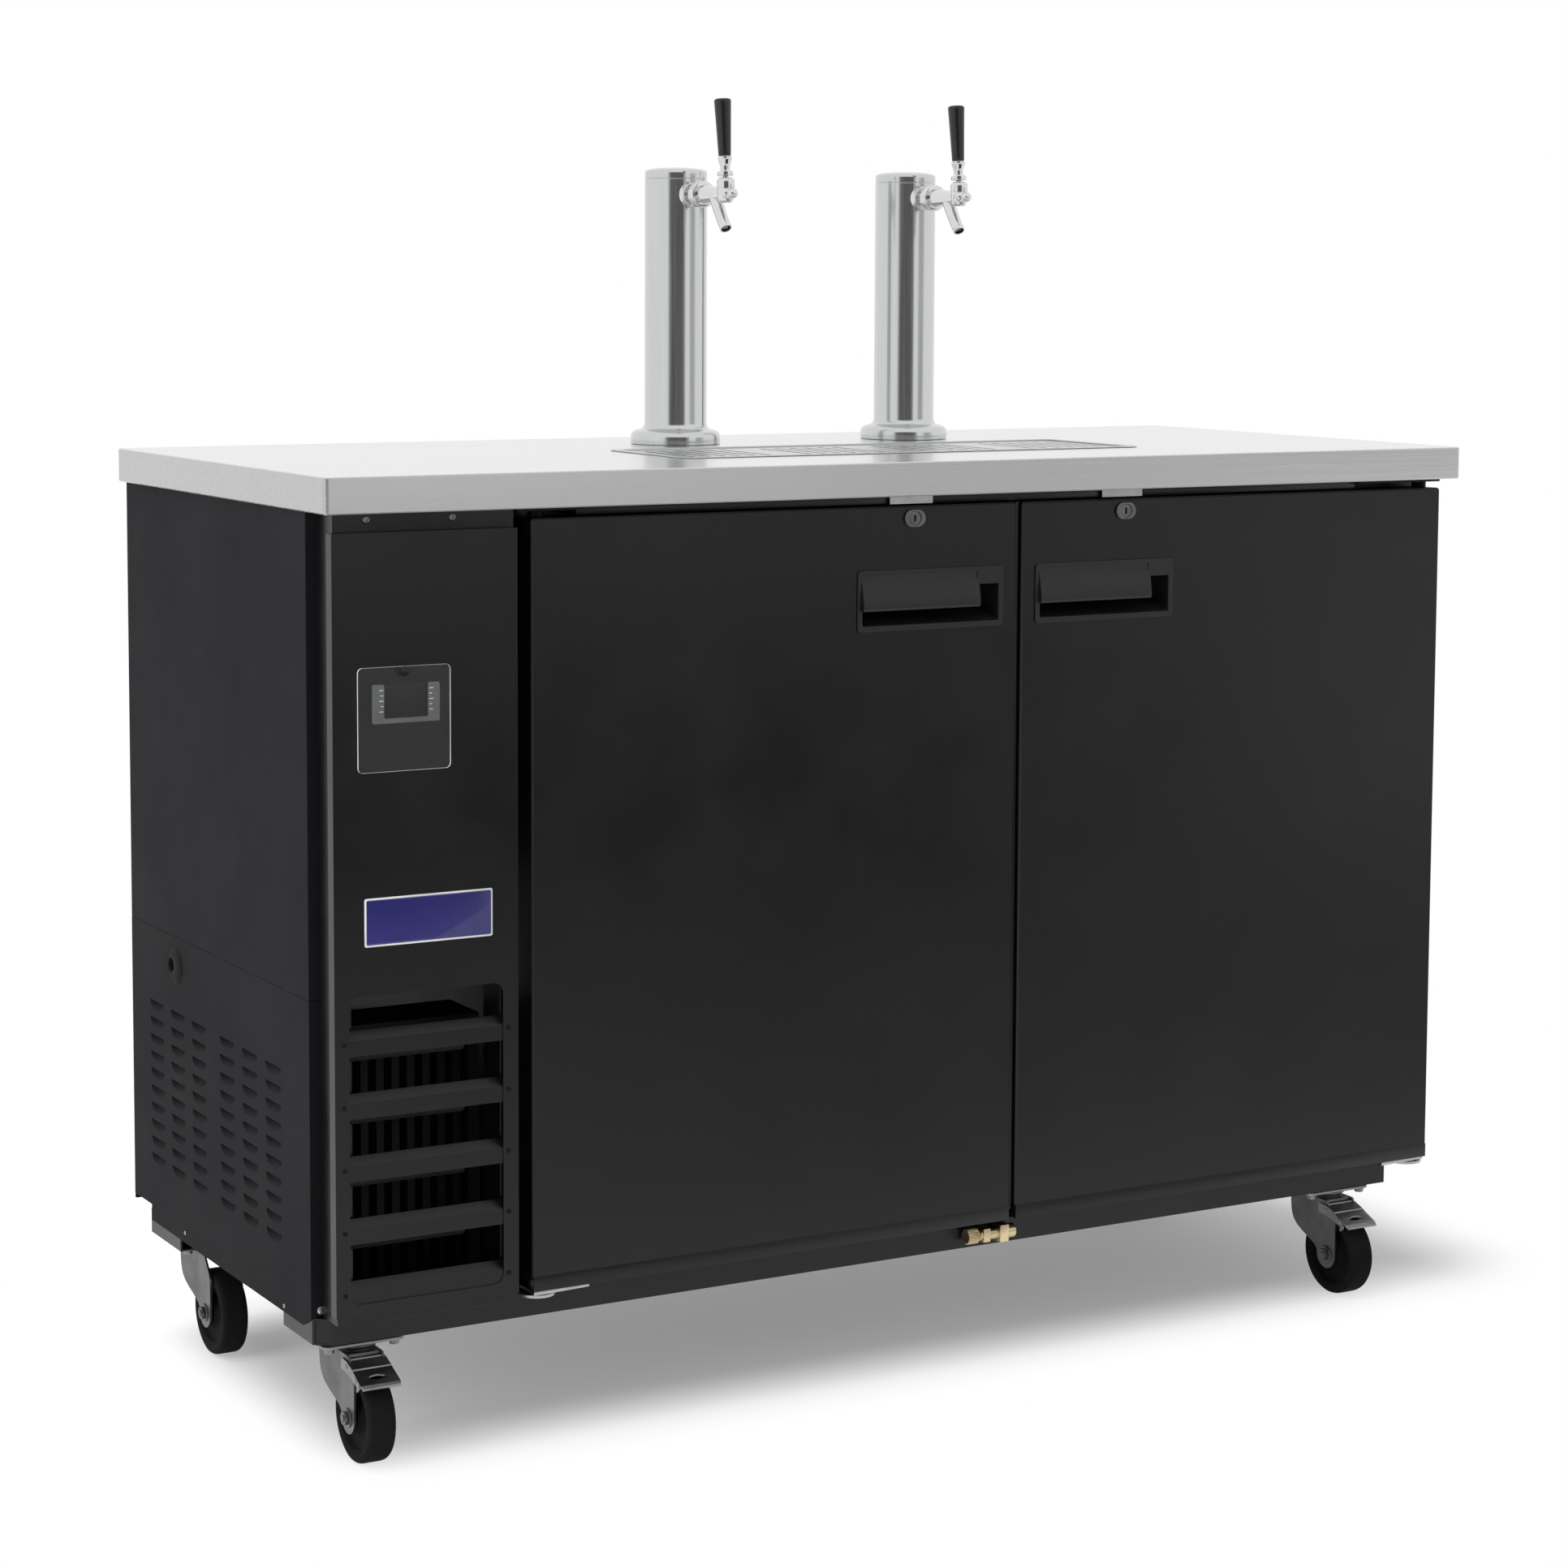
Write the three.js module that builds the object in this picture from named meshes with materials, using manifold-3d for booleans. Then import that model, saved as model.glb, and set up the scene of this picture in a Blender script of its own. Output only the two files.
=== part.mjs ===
// Two-door draught beer cooler with two single-tap towers, on four swivel casters.
// Millimetres, +Z up, +X to the right, front towards -Y. The origin is on the floor,
// in the middle of the footprint. The machine bay is at the left, the keg bay at the right.
import * as THREE from 'three';
import { mergeGeometries, mergeVertices } from 'three/addons/utils/BufferGeometryUtils.js';
import { ConvexGeometry } from 'three/addons/geometries/ConvexGeometry.js';
import Module from 'manifold-3d';

const wasm = await Module();
wasm.setup();

// General fits
const fit_gap = 0.3;            // left between pieces that sit on each other
const pin_play = 0.6;           // radial play of a pin in its bore
const overrun = 1;              // how far a cutter passes through what it cuts
const sheet = 1.2;              // folded steel skins
const half_turn = Math.PI;
const triple = 3;
const quarter_turn = half_turn / 2;
const degree = Math.PI / 180;

// Worktop
const worktop_width = 1500;
const worktop_depth = 645;
const worktop_thickness = 39;
const worktop_height = 1060;
const worktop_corner = 4;
const worktop_edge = 1.5;

// Base frame
const caster_height = 129.7;
const sill_height = 29;
const sill_wall = 2.5;
const sill_chamfer = 16;
const base_left_inset = 6.5;
const base_right_inset = 54;
const base_front_inset = 52.5;
const front_sill_depth = 99;
const rear_sill_depth = 100;
const rear_sill_inset = 69.5;

// Insulated cabinet
const cabinet_left_inset = 5;
const cabinet_right_inset = 13;
const cabinet_back_inset = 16.5;
const shell_front_inset = 67.5;
const machine_bay_width = 240;
const wall_thickness = 50;
const ceiling_thickness = 45;
const mullion_width = 80;
const mullion_depth = 40;
const liner_wall = 1.2;
const liner_bead = 9;
const liner_bead_height = 4;
const liner_bead_pitch = 90;

// Doors
const door_thickness = 45.8;
const door_front_inset = 14;
const door_left_overlap = 4.4;
const door_right_inset = 6.6;
const door_gap = 7.8;
const door_floor_gap = 22.7;
const door_top_gap = 11.5;
const door_edge = 2;
const gasket_inset = 17;
const gasket_width = 16;

// Door hinges
const hinge_inset = 15.4;
const hinge_plate = 3.5;
const hinge_nose_radius = 21;
const hinge_tab_from = 59;
const hinge_tab_to = 36;
const hinge_neck_to = 12;
const hinge_notch_depth = 8;
const hinge_post_radius = 9;
const hinge_pin_radius = 4;
const hinge_pin_length = 14;
const hinge_leaf_length = 68;
const hinge_leaf_depth = 28;
const hinge_leaf = 3;
const top_hinge_reaches = { left: [31, 41], right: [110, 18] };

// Door locks and strikes
const lock_from_split_left = 142.5;
const lock_from_split_right = 147;
const lock_below_top = 14.3;
const lock_face_width = 27;
const lock_face_height = 19;
const lock_face_proud = 2.4;
const lock_barrel_radius = 8;
const lock_barrel_length = 10;
const lock_cam_reach = 22;
const lock_cam_width = 9;
const lock_cam_thickness = 2.5;
const key_slot_width = 1.6;
const key_slot_height = 7;
const strike_width = 57;
const strike_drop = 9.7;
const strike_depth = 33;
const strike_thickness = 2;
const strike_to_cam = 2.2;

// Recessed door grips
const grip_length = 194;
const grip_height = 69;
const grip_below_top = 72;
const grip_left_from_edge = 19;
const grip_right_from_edge = 17.7;
const grip_flange = 1.6;
const grip_wall = 2;
const grip_depth = 36;
const grip_border = 4;
const grip_mouth_width = 27.7;
const grip_mouth_height = 17.3;
const grip_mouth_rise = 42.8;
const hood_bulge = 7;
const hood_lip = 13;
const hood_shoulder = 26;
const hood_shoulder_proud = 3.9;

// Machine bay panels
const side_split_height = 502;
const side_bottom_height = 146;
const side_notch_height = 165;
const side_notch_length = 59;
const side_return = 14;
const side_corner_cut = 12;
const louvre_length = 45;
const louvre_height = 8.5;
const louvre_depth = 7;
const louvre_taper = 5;
const louvre_rows = 10;
const louvre_row_pitch = 21.5;
const louvre_first_height = 415.6;
const louvre_columns = 3;
const louvre_column_pitch = 70;
const louvre_bank_pitch = 230;
const louvre_first_y = 224;
const louvre_banks = 2;
const grommet_radius = 22;
const grommet_hole_radius = 8;
const grommet_proud = 3;
const grommet_edge = 1;
const grommet_neck_drop = 2.4;
const grommet_hole_offset = 10;
const grommet_below_split = 34;
const grommet_from_back = 152.4;

// Front grille panel
const grille_left_inset = 9.6;
const grille_right_gap = 24;
const grille_front_inset = 7.5;
const grille_top_gap = 20;
const grille_bottom_gap = 14;
const grille_sheet = 1.5;
const vent_left_margin = 16.4;
const vent_right_margin = 18;
const vent_bottom_margin = 12.6;
const vent_height = 329;
const vent_corner = 10;
const blade_count = 5;
const blade_pitch_share = 0.2036;
const blade_web = 17;
const blade_slope = 9;
const blade_lip = 6;
const blade_lip_cut = 44;
const blade_overlap = 12;
const blade_first_share = 0.141;

// Inner frame of the machine bay
const frame_front_inset = 22.5;
const frame_back_inset = 66;
const frame_left_inset = 12;
const frame_right_gap = 21;
const frame_member = 18;
const frame_head = 27;
const frame_foot = 12;

// Controller and its clear cover
const control_width = 76;
const control_height = 41;
const control_arm = 13;
const control_foot = 7;
const control_rim = 3;
const control_body_depth = 56;
const control_centre_inset = 91.25;
const control_centre_height = 822;
const cover_width = 105;
const cover_height = 110;
const cover_thickness = 2.5;
const cover_corner = 5;
const cover_standoff = 3.8;
const cover_screw_below_top = 6;
const cover_screw_radius = 3;
const cover_screw_head = 6;
const cover_screw_head_height = 0.8;
const cover_centre_inset = 88;
const cover_top_height = 861;

// Rear cover and cord gland
const rear_slot_count = 12;
const rear_slot_height = 6;
const rear_slot_pitch = 24;
const rear_slot_margin = 30;
const rear_slot_first = 250;
const gland_radius = 12;
const gland_length = 14;
const gland_bore_radius = 4.5;
const gland_neck_drop = 2.4;
const gland_inside = 3.6;
const gland_tip_wall = 2.4;
const gland_height = 208;
const gland_from_left = 60;

// Compressor, condenser and evaporator
const compressor_radius = 74;
const compressor_height = 175;
const compressor_side_gap = 25;
const compressor_foot_thickness = 3;
const compressor_from_back = 156;
const compressor_shoulder_share = 0.72;
const compressor_root_share = 0.9;
const compressor_curve_share = 0.17;
const condenser_side_gap = 20;
const condenser_height = 300;
const condenser_thickness = 44;
const condenser_fin_count = 10;
const condenser_fin_groove = 9;
const condenser_groove_share = 0.6;
const condenser_front_gap = 50;
const shroud_depth = 34;
const fan_radius_share = 0.41;
const fan_hub_radius = 22;
const fan_hub_length = 20;
const fan_nose_share = 0.7;
const fan_root_share = 0.8;
const fan_blades = 5;
const fan_blade_thickness = 2;
const fan_blade_chord = 44;
const fan_blade_pitch = 28 * degree;
const fan_play = 5;
const fan_motor_radius = 26;
const fan_motor_length = 30;
const fan_shaft_radius = 4;
const fan_arm_width = 12;
const evaporator_width = 290;
const evaporator_depth = 180;
const evaporator_height = 85;
const evaporator_wall = 2;
const evaporator_inlet_radius = 60;
const evaporator_slot_count = 6;
const evaporator_slot_height = 5;
const evaporator_from_wall = 12;

// Drip pan and its grate
const tray_length = 630;
const tray_depth = 200;
const tray_right_inset = 683.3;
const tray_front_inset = 257.5;
const tray_corner = 14;
const tray_rim = 10;
const tray_ledge = 8;
const tray_ledge_drop = 2.5;
const tray_drop = 26;
const tray_wall = 1.2;
const drain_radius = 9;
const drain_bore_radius = 7.5;
const drain_length = 85;
const grate_thickness = 2;
const grate_slack = 1.5;
const slot_groups = 4;
const slots_in_group = 6;
const slot_group_share = 0.2564;
const slot_pitch_share = 0.129;
const slot_width = 5;
const slot_length_share = 0.7216;

// Drain valve under the pan
const valve_radius = 7;
const valve_cap_radius = 9.5;
const valve_cap_length = 15;
const valve_nut_radius = 11;
const valve_nut_length = 12;
const valve_end_radius = 8.5;
const valve_end_length = 11;
const valve_length = 66;
const valve_standoff = 12;
const valve_above_sill = 17;
const valve_stem_radius = 5;
const valve_stem_length = 20;
const valve_x = 96;

// Beer towers
const tower_spacing = 328.4;
const tower_back_inset = 177.1;
const column_radius = 38.1;
const column_wall = 1.5;
const column_height = 323;
const tower_flange_radius = 55;
const tower_flange_height = 18;
const tower_flange_round = 8;
const tower_flange_edge = 2;
const tower_fillet = 5;
const cap_height = 11;
const cap_dome = 4.5;
const cap_crown = 0.9;
const cap_plug = 5;
const line_hole_radius = 31;

// Faucets
const tap_height = 303.7;
const shank_radius = 8.5;
const shank_bore_radius = 4;
const shank_visible = 22;
const shank_inside = 34;
const shank_nut_radius = 12.7;
const shank_nut_gap = 0.9;
const coupling_radius = 16;
const coupling_length = 13;
const coupling_groove = 1.5;
const coupling_rib_shares = [0.33, 0.5, 0.67];
const faucet_root_radius = 10.5;
const faucet_neck_radius = 8.3;
const faucet_length = 70.8;
const faucet_knob_radius = 6;
const faucet_knob_nose_share = 0.7;
const faucet_bonnet_from_knob = 16.5;
const bonnet_radius = 10.5;
const pivot_rise = 8.5;
const spout_radius = 7.4;
const spout_bore_radius = 5;
const spout_reach = 27;
const spout_drop = 41;
const spout_bend_shares = { reach: 0.75, drop: 0.333 };
const spout_bore_shares = [0.6, 1];
const lever_ball_radius = 6.6;
const lever_ball_share = 0.8;
const lever_stem_radius = 3;
const lever_collar_radius = 9.5;
const lever_collar_rise = 12;
const lever_collar_length = 6;
const ferrule_length = 17.5;
const ferrule_neck_share = 0.25;
const ferrule_flare_share = 0.8;
const ferrule_bottom_radius = 5.8;
const ferrule_top_radius = 8.5;
const lever_stud_radius = 4;
const lever_stud_length = 12;
const lever_lean = 5 * degree;
const lever_stroke = 40 * degree;
const lever_slot_margin = 12 * degree;
const lever_slot_reach = 14;
const handle_length = 68.5;
const handle_bottom_radius = 7.5;
const handle_top_radius = 10.3;
const handle_edge = 1.2;

// Casters
const caster_left_inset = 53.5;
const caster_right_inset = 71;
const caster_front_inset = 31;
const caster_back_inset = 57;
const caster_trail = 32;
const wheel_radius = 50.8;
const wheel_width = 31;
const wheel_round = 8;
const wheel_rim = 13;
const wheel_dish = 7;
const wheel_hub_radius = 17;
const wheel_hub_proud = 1;
const wheel_facets = 20;
const axle_radius = 5;
const axle_nut_radius = 9;
const axle_nut_length = 7;
const fork_wall = 2.5;
const fork_play = 2.5;
const fork_top_drop = 12;
const fork_head_radius = 27;
const fork_end_radius = 13;
const fork_back_share = 0.8;
const kingpin_radius = 6;
const race_radius = 25;
const race_height = 7;
const caster_plate_length = 94;
const caster_plate_depth = 64;
const caster_plate_thickness = 3;
const caster_plate_corner = 6;
const pedal_reach = 76;
const pedal_width = 60;
const pedal_thickness = 2.5;
const pedal_pivot_forward = 22;
const pedal_pivot_drop = 9;
const pedal_pin_radius = 3;
const pedal_ear = 7;
const pedal_root_drop = 4;
const pedal_tip_drop = 22;
const pedal_lip = 5;
const pedal_ridge = 1.2;
const pedal_ridges = 3;
const pedal_side_play = 1;

// Facet counts
const fine_facets = 20;
const plain_facets = 12;
const small_facets = 8;
const nut_facets = 6;
const straight_steps = 1;
const lever_slot_steps = 4;
const fork_end_steps = 5;
const corner_steps = 1;
const slot_steps = 1;
const flange_steps = 2;
const dome_steps = 4;
const spout_steps = 4;

// Places that follow from the sizes above
const worktop_bottom = worktop_height - worktop_thickness;
const half_width = worktop_width / 2;
const half_depth = worktop_depth / 2;
const sill_bottom = caster_height + fit_gap;
const sill_top = sill_bottom + sill_height;
const base_left = -half_width + base_left_inset;
const base_right = half_width - base_right_inset;
const base_front = -half_depth + base_front_inset;
const base_back = half_depth - rear_sill_inset;
const cabinet_left = -half_width + cabinet_left_inset;
const cabinet_right = half_width - cabinet_right_inset;
const cabinet_back = half_depth - cabinet_back_inset;
const shell_front = -half_depth + shell_front_inset;
const shell_left = cabinet_left + machine_bay_width;
const shell_bottom = sill_top + fit_gap;
const grommet_y = cabinet_back - grommet_from_back;
const shell_top = worktop_bottom - fit_gap;
const bay_left = shell_left + wall_thickness;
const bay_right = cabinet_right - wall_thickness;
const bay_back = cabinet_back - wall_thickness;
const bay_bottom = shell_bottom + wall_thickness;
const bay_top = shell_top - ceiling_thickness;
const door_front = -half_depth + door_front_inset;
const door_back = door_front + door_thickness;
const door_bottom = sill_top + door_floor_gap;
const door_top = worktop_bottom - door_top_gap;
const door_height = door_top - door_bottom;
const doors_left = shell_left - door_left_overlap;
const doors_right = cabinet_right - door_right_inset;
const door_split = (doors_left + doors_right) / 2;
const door_width = (doors_right - doors_left - door_gap) / 2;
const hinge_y = (door_front + door_back) / 2;
const tray_x = half_width - tray_right_inset;
const tray_y = -half_depth + tray_front_inset;
const tower_left = tray_x - tower_spacing / 2;
const tower_right = tray_x + tower_spacing / 2;
const tower_y = half_depth - tower_back_inset;
const tap_z = worktop_height + tap_height;
const compressor_y = cabinet_back - compressor_from_back;
const axle_z = wheel_radius * Math.cos(half_turn / wheel_facets);
const caster_left = base_left + caster_left_inset;
const caster_right = base_right - caster_right_inset;
const caster_front = base_front + caster_front_inset;
const caster_back = base_back - caster_back_inset;
const compressor_foot = machine_bay_width - 2 * compressor_side_gap;
const condenser_width = machine_bay_width - 2 * condenser_side_gap;
const fan_radius = condenser_width * fan_radius_share;

// Finishes
const finishes = {
  black_steel: { color: 0x2b2c2f, roughness: 0.48, metalness: 0.3 },
  dark_steel: { color: 0x1b1c1e, roughness: 0.6, metalness: 0.3 },
  stainless: { color: 0xc9cacb, roughness: 0.32, metalness: 0.95 },
  polished: { color: 0xdcdddf, roughness: 0.12, metalness: 1 },
  zinc: { color: 0xb9bcb8, roughness: 0.38, metalness: 0.85 },
  brass: { color: 0xc8a560, roughness: 0.3, metalness: 0.9 },
  aluminium: { color: 0xb4b7ba, roughness: 0.45, metalness: 0.8 },
  black_plastic: { color: 0x18191b, roughness: 0.42, metalness: 0 },
  black_rubber: { color: 0x1c1c1e, roughness: 0.75, metalness: 0 },
  grey_plastic: { color: 0xc5c6c4, roughness: 0.5, metalness: 0 },
  clear_plastic: { color: 0xdfe3e6, roughness: 0.08, metalness: 0 },
};

// Closed mesh to solid, and back to a geometry
function outward(positions, triangles) {
  const a = new THREE.Vector3();
  const b = new THREE.Vector3();
  const c = new THREE.Vector3();
  let volume = 0;
  for (const [i, j, k] of triangles) {
    a.fromArray(positions, triple * i);
    b.fromArray(positions, triple * j);
    c.fromArray(positions, triple * k);
    volume += a.dot(b.cross(c));
  }
  return volume >= 0 ? triangles : triangles.map(([i, j, k]) => [i, k, j]);
}

function solid(geometry) {
  const bare = new THREE.BufferGeometry();
  bare.setAttribute('position', geometry.getAttribute('position'));
  if (geometry.index) bare.setIndex(geometry.index);
  const merged = mergeVertices(bare);
  const positions = merged.getAttribute('position').array;
  const index = merged.index.array;
  const triangles = [];
  for (let n = 0; n < index.length; n += triple) {
    const [i, j, k] = [index[n], index[n + 1], index[n + 2]];
    if (i !== j && j !== k && k !== i) triangles.push([i, j, k]);
  }
  return new wasm.Manifold(new wasm.Mesh({
    numProp: triple,
    vertProperties: new Float32Array(positions),
    triVerts: new Uint32Array(outward(positions, triangles).flat()),
  }));
}

function geometryOf(body) {
  const mesh = body.getMesh();
  const geometry = new THREE.BufferGeometry();
  const points = new THREE.BufferAttribute(new Float32Array(mesh.vertProperties), triple);
  geometry.setAttribute('position', points);
  geometry.setIndex(new THREE.BufferAttribute(new Uint32Array(mesh.triVerts), 1));
  return geometry;
}

const join = (first, ...rest) => rest.reduce((sum, piece) => sum.add(piece), first);
const cut = (first, ...rest) => rest.reduce((left, piece) => left.subtract(piece), first);
const together = (geometries) => solid(mergeGeometries(geometries.map((g) => {
  const bare = g.index ? g.toNonIndexed() : g.clone();
  for (const name of Object.keys(bare.attributes)) if (name !== 'position') bare.deleteAttribute(name);
  return bare;
})));

// Box between two corners
function blockGeometry(x0, x1, y0, y1, z0, z1) {
  const box = new THREE.BoxGeometry(x1 - x0, y1 - y0, z1 - z0);
  return box.translate((x0 + x1) / 2, (y0 + y1) / 2, (z0 + z1) / 2);
}
const block = (...corners) => solid(blockGeometry(...corners));

// Outline pushed along an axis. The outline is drawn in the two other axes, in alphabetical order.
function prismGeometry(outline, axis, from, to, options = {}) {
  const shape = Array.isArray(outline)
    ? new THREE.Shape(outline.map(([u, v]) => new THREE.Vector2(u, v)))
    : outline;
  const settings = { depth: to - from, bevelEnabled: false, curveSegments: corner_steps, ...options };
  const geometry = new THREE.ExtrudeGeometry(shape, settings);
  const turns = {
    x: new THREE.Matrix4().set(0, 0, 1, from, 1, 0, 0, 0, 0, 1, 0, 0, 0, 0, 0, 1),
    y: new THREE.Matrix4().set(1, 0, 0, 0, 0, 0, -1, to, 0, 1, 0, 0, 0, 0, 0, 1),
    z: new THREE.Matrix4().makeTranslation(0, 0, from),
  };
  return geometry.applyMatrix4(turns[axis]);
}
const prism = (...settings) => solid(prismGeometry(...settings));

// Rectangle with round corners, about a centre
function roundedRectangle(width, height, radius, u = 0, v = 0, kind = THREE.Shape) {
  const [left, right, low, high] = [u - width / 2, u + width / 2, v - height / 2, v + height / 2];
  const shape = new kind();
  shape.moveTo(left + radius, low);
  shape.absarc(right - radius, low + radius, radius, -quarter_turn, 0);
  shape.absarc(right - radius, high - radius, radius, 0, quarter_turn);
  shape.absarc(left + radius, high - radius, radius, quarter_turn, half_turn);
  shape.absarc(left + radius, low + radius, radius, half_turn, half_turn + quarter_turn);
  shape.closePath();
  return shape;
}

// Slot with round ends, about a centre
function slotOutline(width, height, u, v, kind = THREE.Shape) {
  const shape = new kind();
  const along = Math.abs(height - width) / 2;
  const radius = Math.min(width, height) / 2;
  if (height > width) {
    shape.absarc(u, v + along, radius, 0, half_turn);
    shape.absarc(u, v - along, radius, half_turn, 2 * half_turn);
  } else {
    shape.absarc(u - along, v, radius, quarter_turn, half_turn + quarter_turn);
    shape.absarc(u + along, v, radius, -quarter_turn, quarter_turn);
  }
  shape.closePath();
  return shape;
}

// Turned piece about an axis through a point: the profile is [radius, place along the axis]
function turnedGeometry(profile, axis, centre, facets = plain_facets, start = 0) {
  const points = profile.map(([r, t]) => new THREE.Vector2(r, t));
  const geometry = new THREE.LatheGeometry(points, facets, start);
  if (axis === 'z') geometry.rotateX(quarter_turn);
  if (axis === 'x') geometry.rotateZ(-quarter_turn);
  return geometry.translate(...centre);
}
const turned = (...settings) => solid(turnedGeometry(...settings));

// Plain round bar between two places along an axis
const barProfile = (radius, from, to) => [[0, from], [radius, from], [radius, to], [0, to]];
const bar = (radius, axis, centre, from, to, facets = plain_facets, start = 0) => (
  turned(barProfile(radius, from, to), axis, centre, facets, start)
);

// The assembly
const cooler = new THREE.Group();

function place(name, body, finish) {
  const material = new THREE.MeshStandardMaterial({ name: finish, ...finishes[finish] });
  const mesh = new THREE.Mesh(geometryOf(body), material);
  mesh.name = name;
  cooler.add(mesh);
}

// Worktop: a foamed slab in stainless sheet, with the pan's pocket and the beer line holes
function makeWorktop() {
  const inner = roundedRectangle(
    worktop_width - 2 * worktop_edge, worktop_depth - 2 * worktop_edge, worktop_corner,
  );
  const slab = prism(inner, 'z', worktop_bottom + worktop_edge, worktop_height - worktop_edge, {
    bevelEnabled: true, bevelSize: worktop_edge, bevelThickness: worktop_edge, bevelSegments: 1,
  });
  const pocket = trayPrism(
    tray_rim - pin_play, worktop_height - tray_drop - tray_wall - fit_gap, worktop_height + overrun,
  );
  return cut(slab, pocket, ...topHoles(worktop_bottom - overrun, worktop_height + overrun));
}

// Holes that the beer lines and the drain take through the top
function topHoles(low, high) {
  const drain = bar(drain_radius + pin_play, 'z', [tray_x, tray_y, 0], low, high);
  const lines = [tower_left, tower_right].map((x) => bar(line_hole_radius, 'z', [x, tower_y, 0], low, high));
  return [drain, ...lines];
}

// Base frame: a full-length pan on two folded channels that open towards each other. The
// channels' flat undersides take the caster plates, and plates close their left ends.
function makeBaseFrame() {
  const deck_bottom = sill_top - sill_wall;
  const outer = block(base_left, base_right, base_front, base_back, sill_bottom, sill_top);
  const front_end = base_front + front_sill_depth;
  const rear_start = base_back - rear_sill_depth;
  const well = block(
    base_left - overrun, base_right + overrun, front_end, rear_start, sill_bottom - overrun, deck_bottom,
  );
  const front_room = block(
    base_left + sill_wall, base_right + overrun, base_front + sill_wall, front_end + overrun,
    sill_bottom + sill_wall, deck_bottom,
  );
  const rear_room = block(
    base_left + sill_wall, base_right + overrun, rear_start - overrun, base_back - sill_wall,
    sill_bottom + sill_wall, deck_bottom,
  );
  const corner = [
    [base_left - overrun, base_front - overrun], [base_left + sill_chamfer, base_front - overrun],
    [base_left + sill_chamfer, base_front], [base_left, base_front + sill_chamfer],
    [base_left - overrun, base_front + sill_chamfer],
  ];
  const chamfer = prism(corner, 'z', sill_bottom - overrun, sill_top + overrun);
  const [root_x, root_y] = [base_left + sill_wall / 2, base_front + sill_wall / 2];
  const gusset = prism([
    [root_x, base_front + sill_chamfer], [base_left + sill_chamfer, root_y],
    [base_left + sill_chamfer + sill_wall, root_y], [root_x, base_front + sill_chamfer + sill_wall],
  ], 'z', sill_bottom, deck_bottom + sill_wall / 2);
  const valve_hole = bar(
    valve_stem_radius + pin_play, 'y', [valve_x, 0, sill_bottom + valve_above_sill],
    base_front - overrun, base_front + sill_wall + overrun, small_facets,
  );
  return cut(cut(outer, well, front_room, rear_room).add(gusset), chamfer, valve_hole);
}

const doorLeft = (side) => (side < 0 ? door_split - door_gap / 2 - door_width : door_split + door_gap / 2);
const hingeX = (side) => doorLeft(side) + (side < 0 ? hinge_inset : door_width - hinge_inset);

// Insulated box of the keg bay with the post between its doors
function makeShell() {
  const outer = block(shell_left, cabinet_right, shell_front, cabinet_back, shell_bottom, shell_top);
  const room = block(bay_left, bay_right, shell_front - overrun, bay_back, bay_bottom, bay_top);
  const post = block(
    door_split - mullion_width / 2, door_split + mullion_width / 2, shell_front, shell_front + mullion_depth,
    bay_bottom - overrun, bay_top + overrun,
  );
  return cut(cut(outer, room).add(post), ...topHoles(bay_top - overrun, shell_top + overrun));
}

// Bright inner lining, open at the front, with raised beads in its floor for the kegs
function makeLiner() {
  const front = shell_front + mullion_depth + fit_gap;
  const outer = block(
    bay_left + fit_gap, bay_right - fit_gap, front, bay_back - fit_gap,
    bay_bottom + fit_gap, bay_top - fit_gap,
  );
  const inner_left = bay_left + fit_gap + liner_wall;
  const inner_right = bay_right - fit_gap - liner_wall;
  const inner_back = bay_back - fit_gap - liner_wall;
  const floor_top = bay_bottom + fit_gap + liner_wall;
  const room = block(
    inner_left, inner_right, front - overrun, inner_back, floor_top, bay_top - fit_gap - liner_wall,
  );
  const bead_inset = liner_bead_pitch / 2;
  const [root, crest] = [floor_top - liner_wall / 2, floor_top + liner_bead_height];
  const beads = [];
  for (let x = inner_left + liner_bead_pitch; x < inner_right - bead_inset; x += liner_bead_pitch) {
    const section = [
      [x - liner_bead, root], [x + liner_bead, root],
      [x + liner_bead / 2, crest], [x - liner_bead / 2, crest],
    ];
    beads.push(prismGeometry(section, 'y', front + bead_inset, inner_back - bead_inset));
  }
  const lining = cut(outer, room).add(together(beads));
  return cut(lining, ...topHoles(bay_top - 2 * liner_wall - overrun, bay_top + overrun));
}

// The rear cover stands just inside the side panels' rear returns
const rear_cover_back = cabinet_back - sheet - fit_gap;
const rear_cover_front = rear_cover_back - sheet;

// Side panel of the machine bay: a sheet folded inwards along its front and back edges, from
// a given height up, and along its top where the room inside it ends below that
function sidePanel(outline, fold_low, room_top) {
  const inner = cabinet_left + sheet;
  const inside = cabinet_left + side_return;
  const folded = prism(outline, 'x', cabinet_left, inside);
  const room = block(
    inner, inside + overrun, shell_front + sheet, cabinet_back - sheet,
    side_bottom_height - overrun, room_top,
  );
  const foot = block(
    inner, inside + overrun, shell_front - overrun, cabinet_back + overrun,
    side_bottom_height - overrun, fold_low,
  );
  return cut(folded, room, foot);
}

function makeUpperSide() {
  const [low, high] = [side_split_height + fit_gap, shell_top];
  const outline = [[shell_front, low], [cabinet_back, low], [cabinet_back, high], [shell_front, high]];
  return sidePanel(outline, low, high - sheet);
}

// One louvre, pressed inwards and open at its top: a wedge that fades out at both ends
function louvreWedge(y, z, grow, rise) {
  const length = louvre_length / 2 + grow;
  const taper = length - louvre_taper;
  const face = grow > 0 ? cabinet_left + sheet / 2 : cabinet_left - overrun;
  const low = z - grow;
  const top = z + louvre_height + rise;
  const lip = cabinet_left + louvre_depth + grow;
  return new ConvexGeometry([
    [face, y - length, low], [face, y + length, low], [face, y - length, top], [face, y + length, top],
    [lip, y - taper, top], [lip, y + taper, top],
  ].map((corner) => new THREE.Vector3(...corner)));
}

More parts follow.
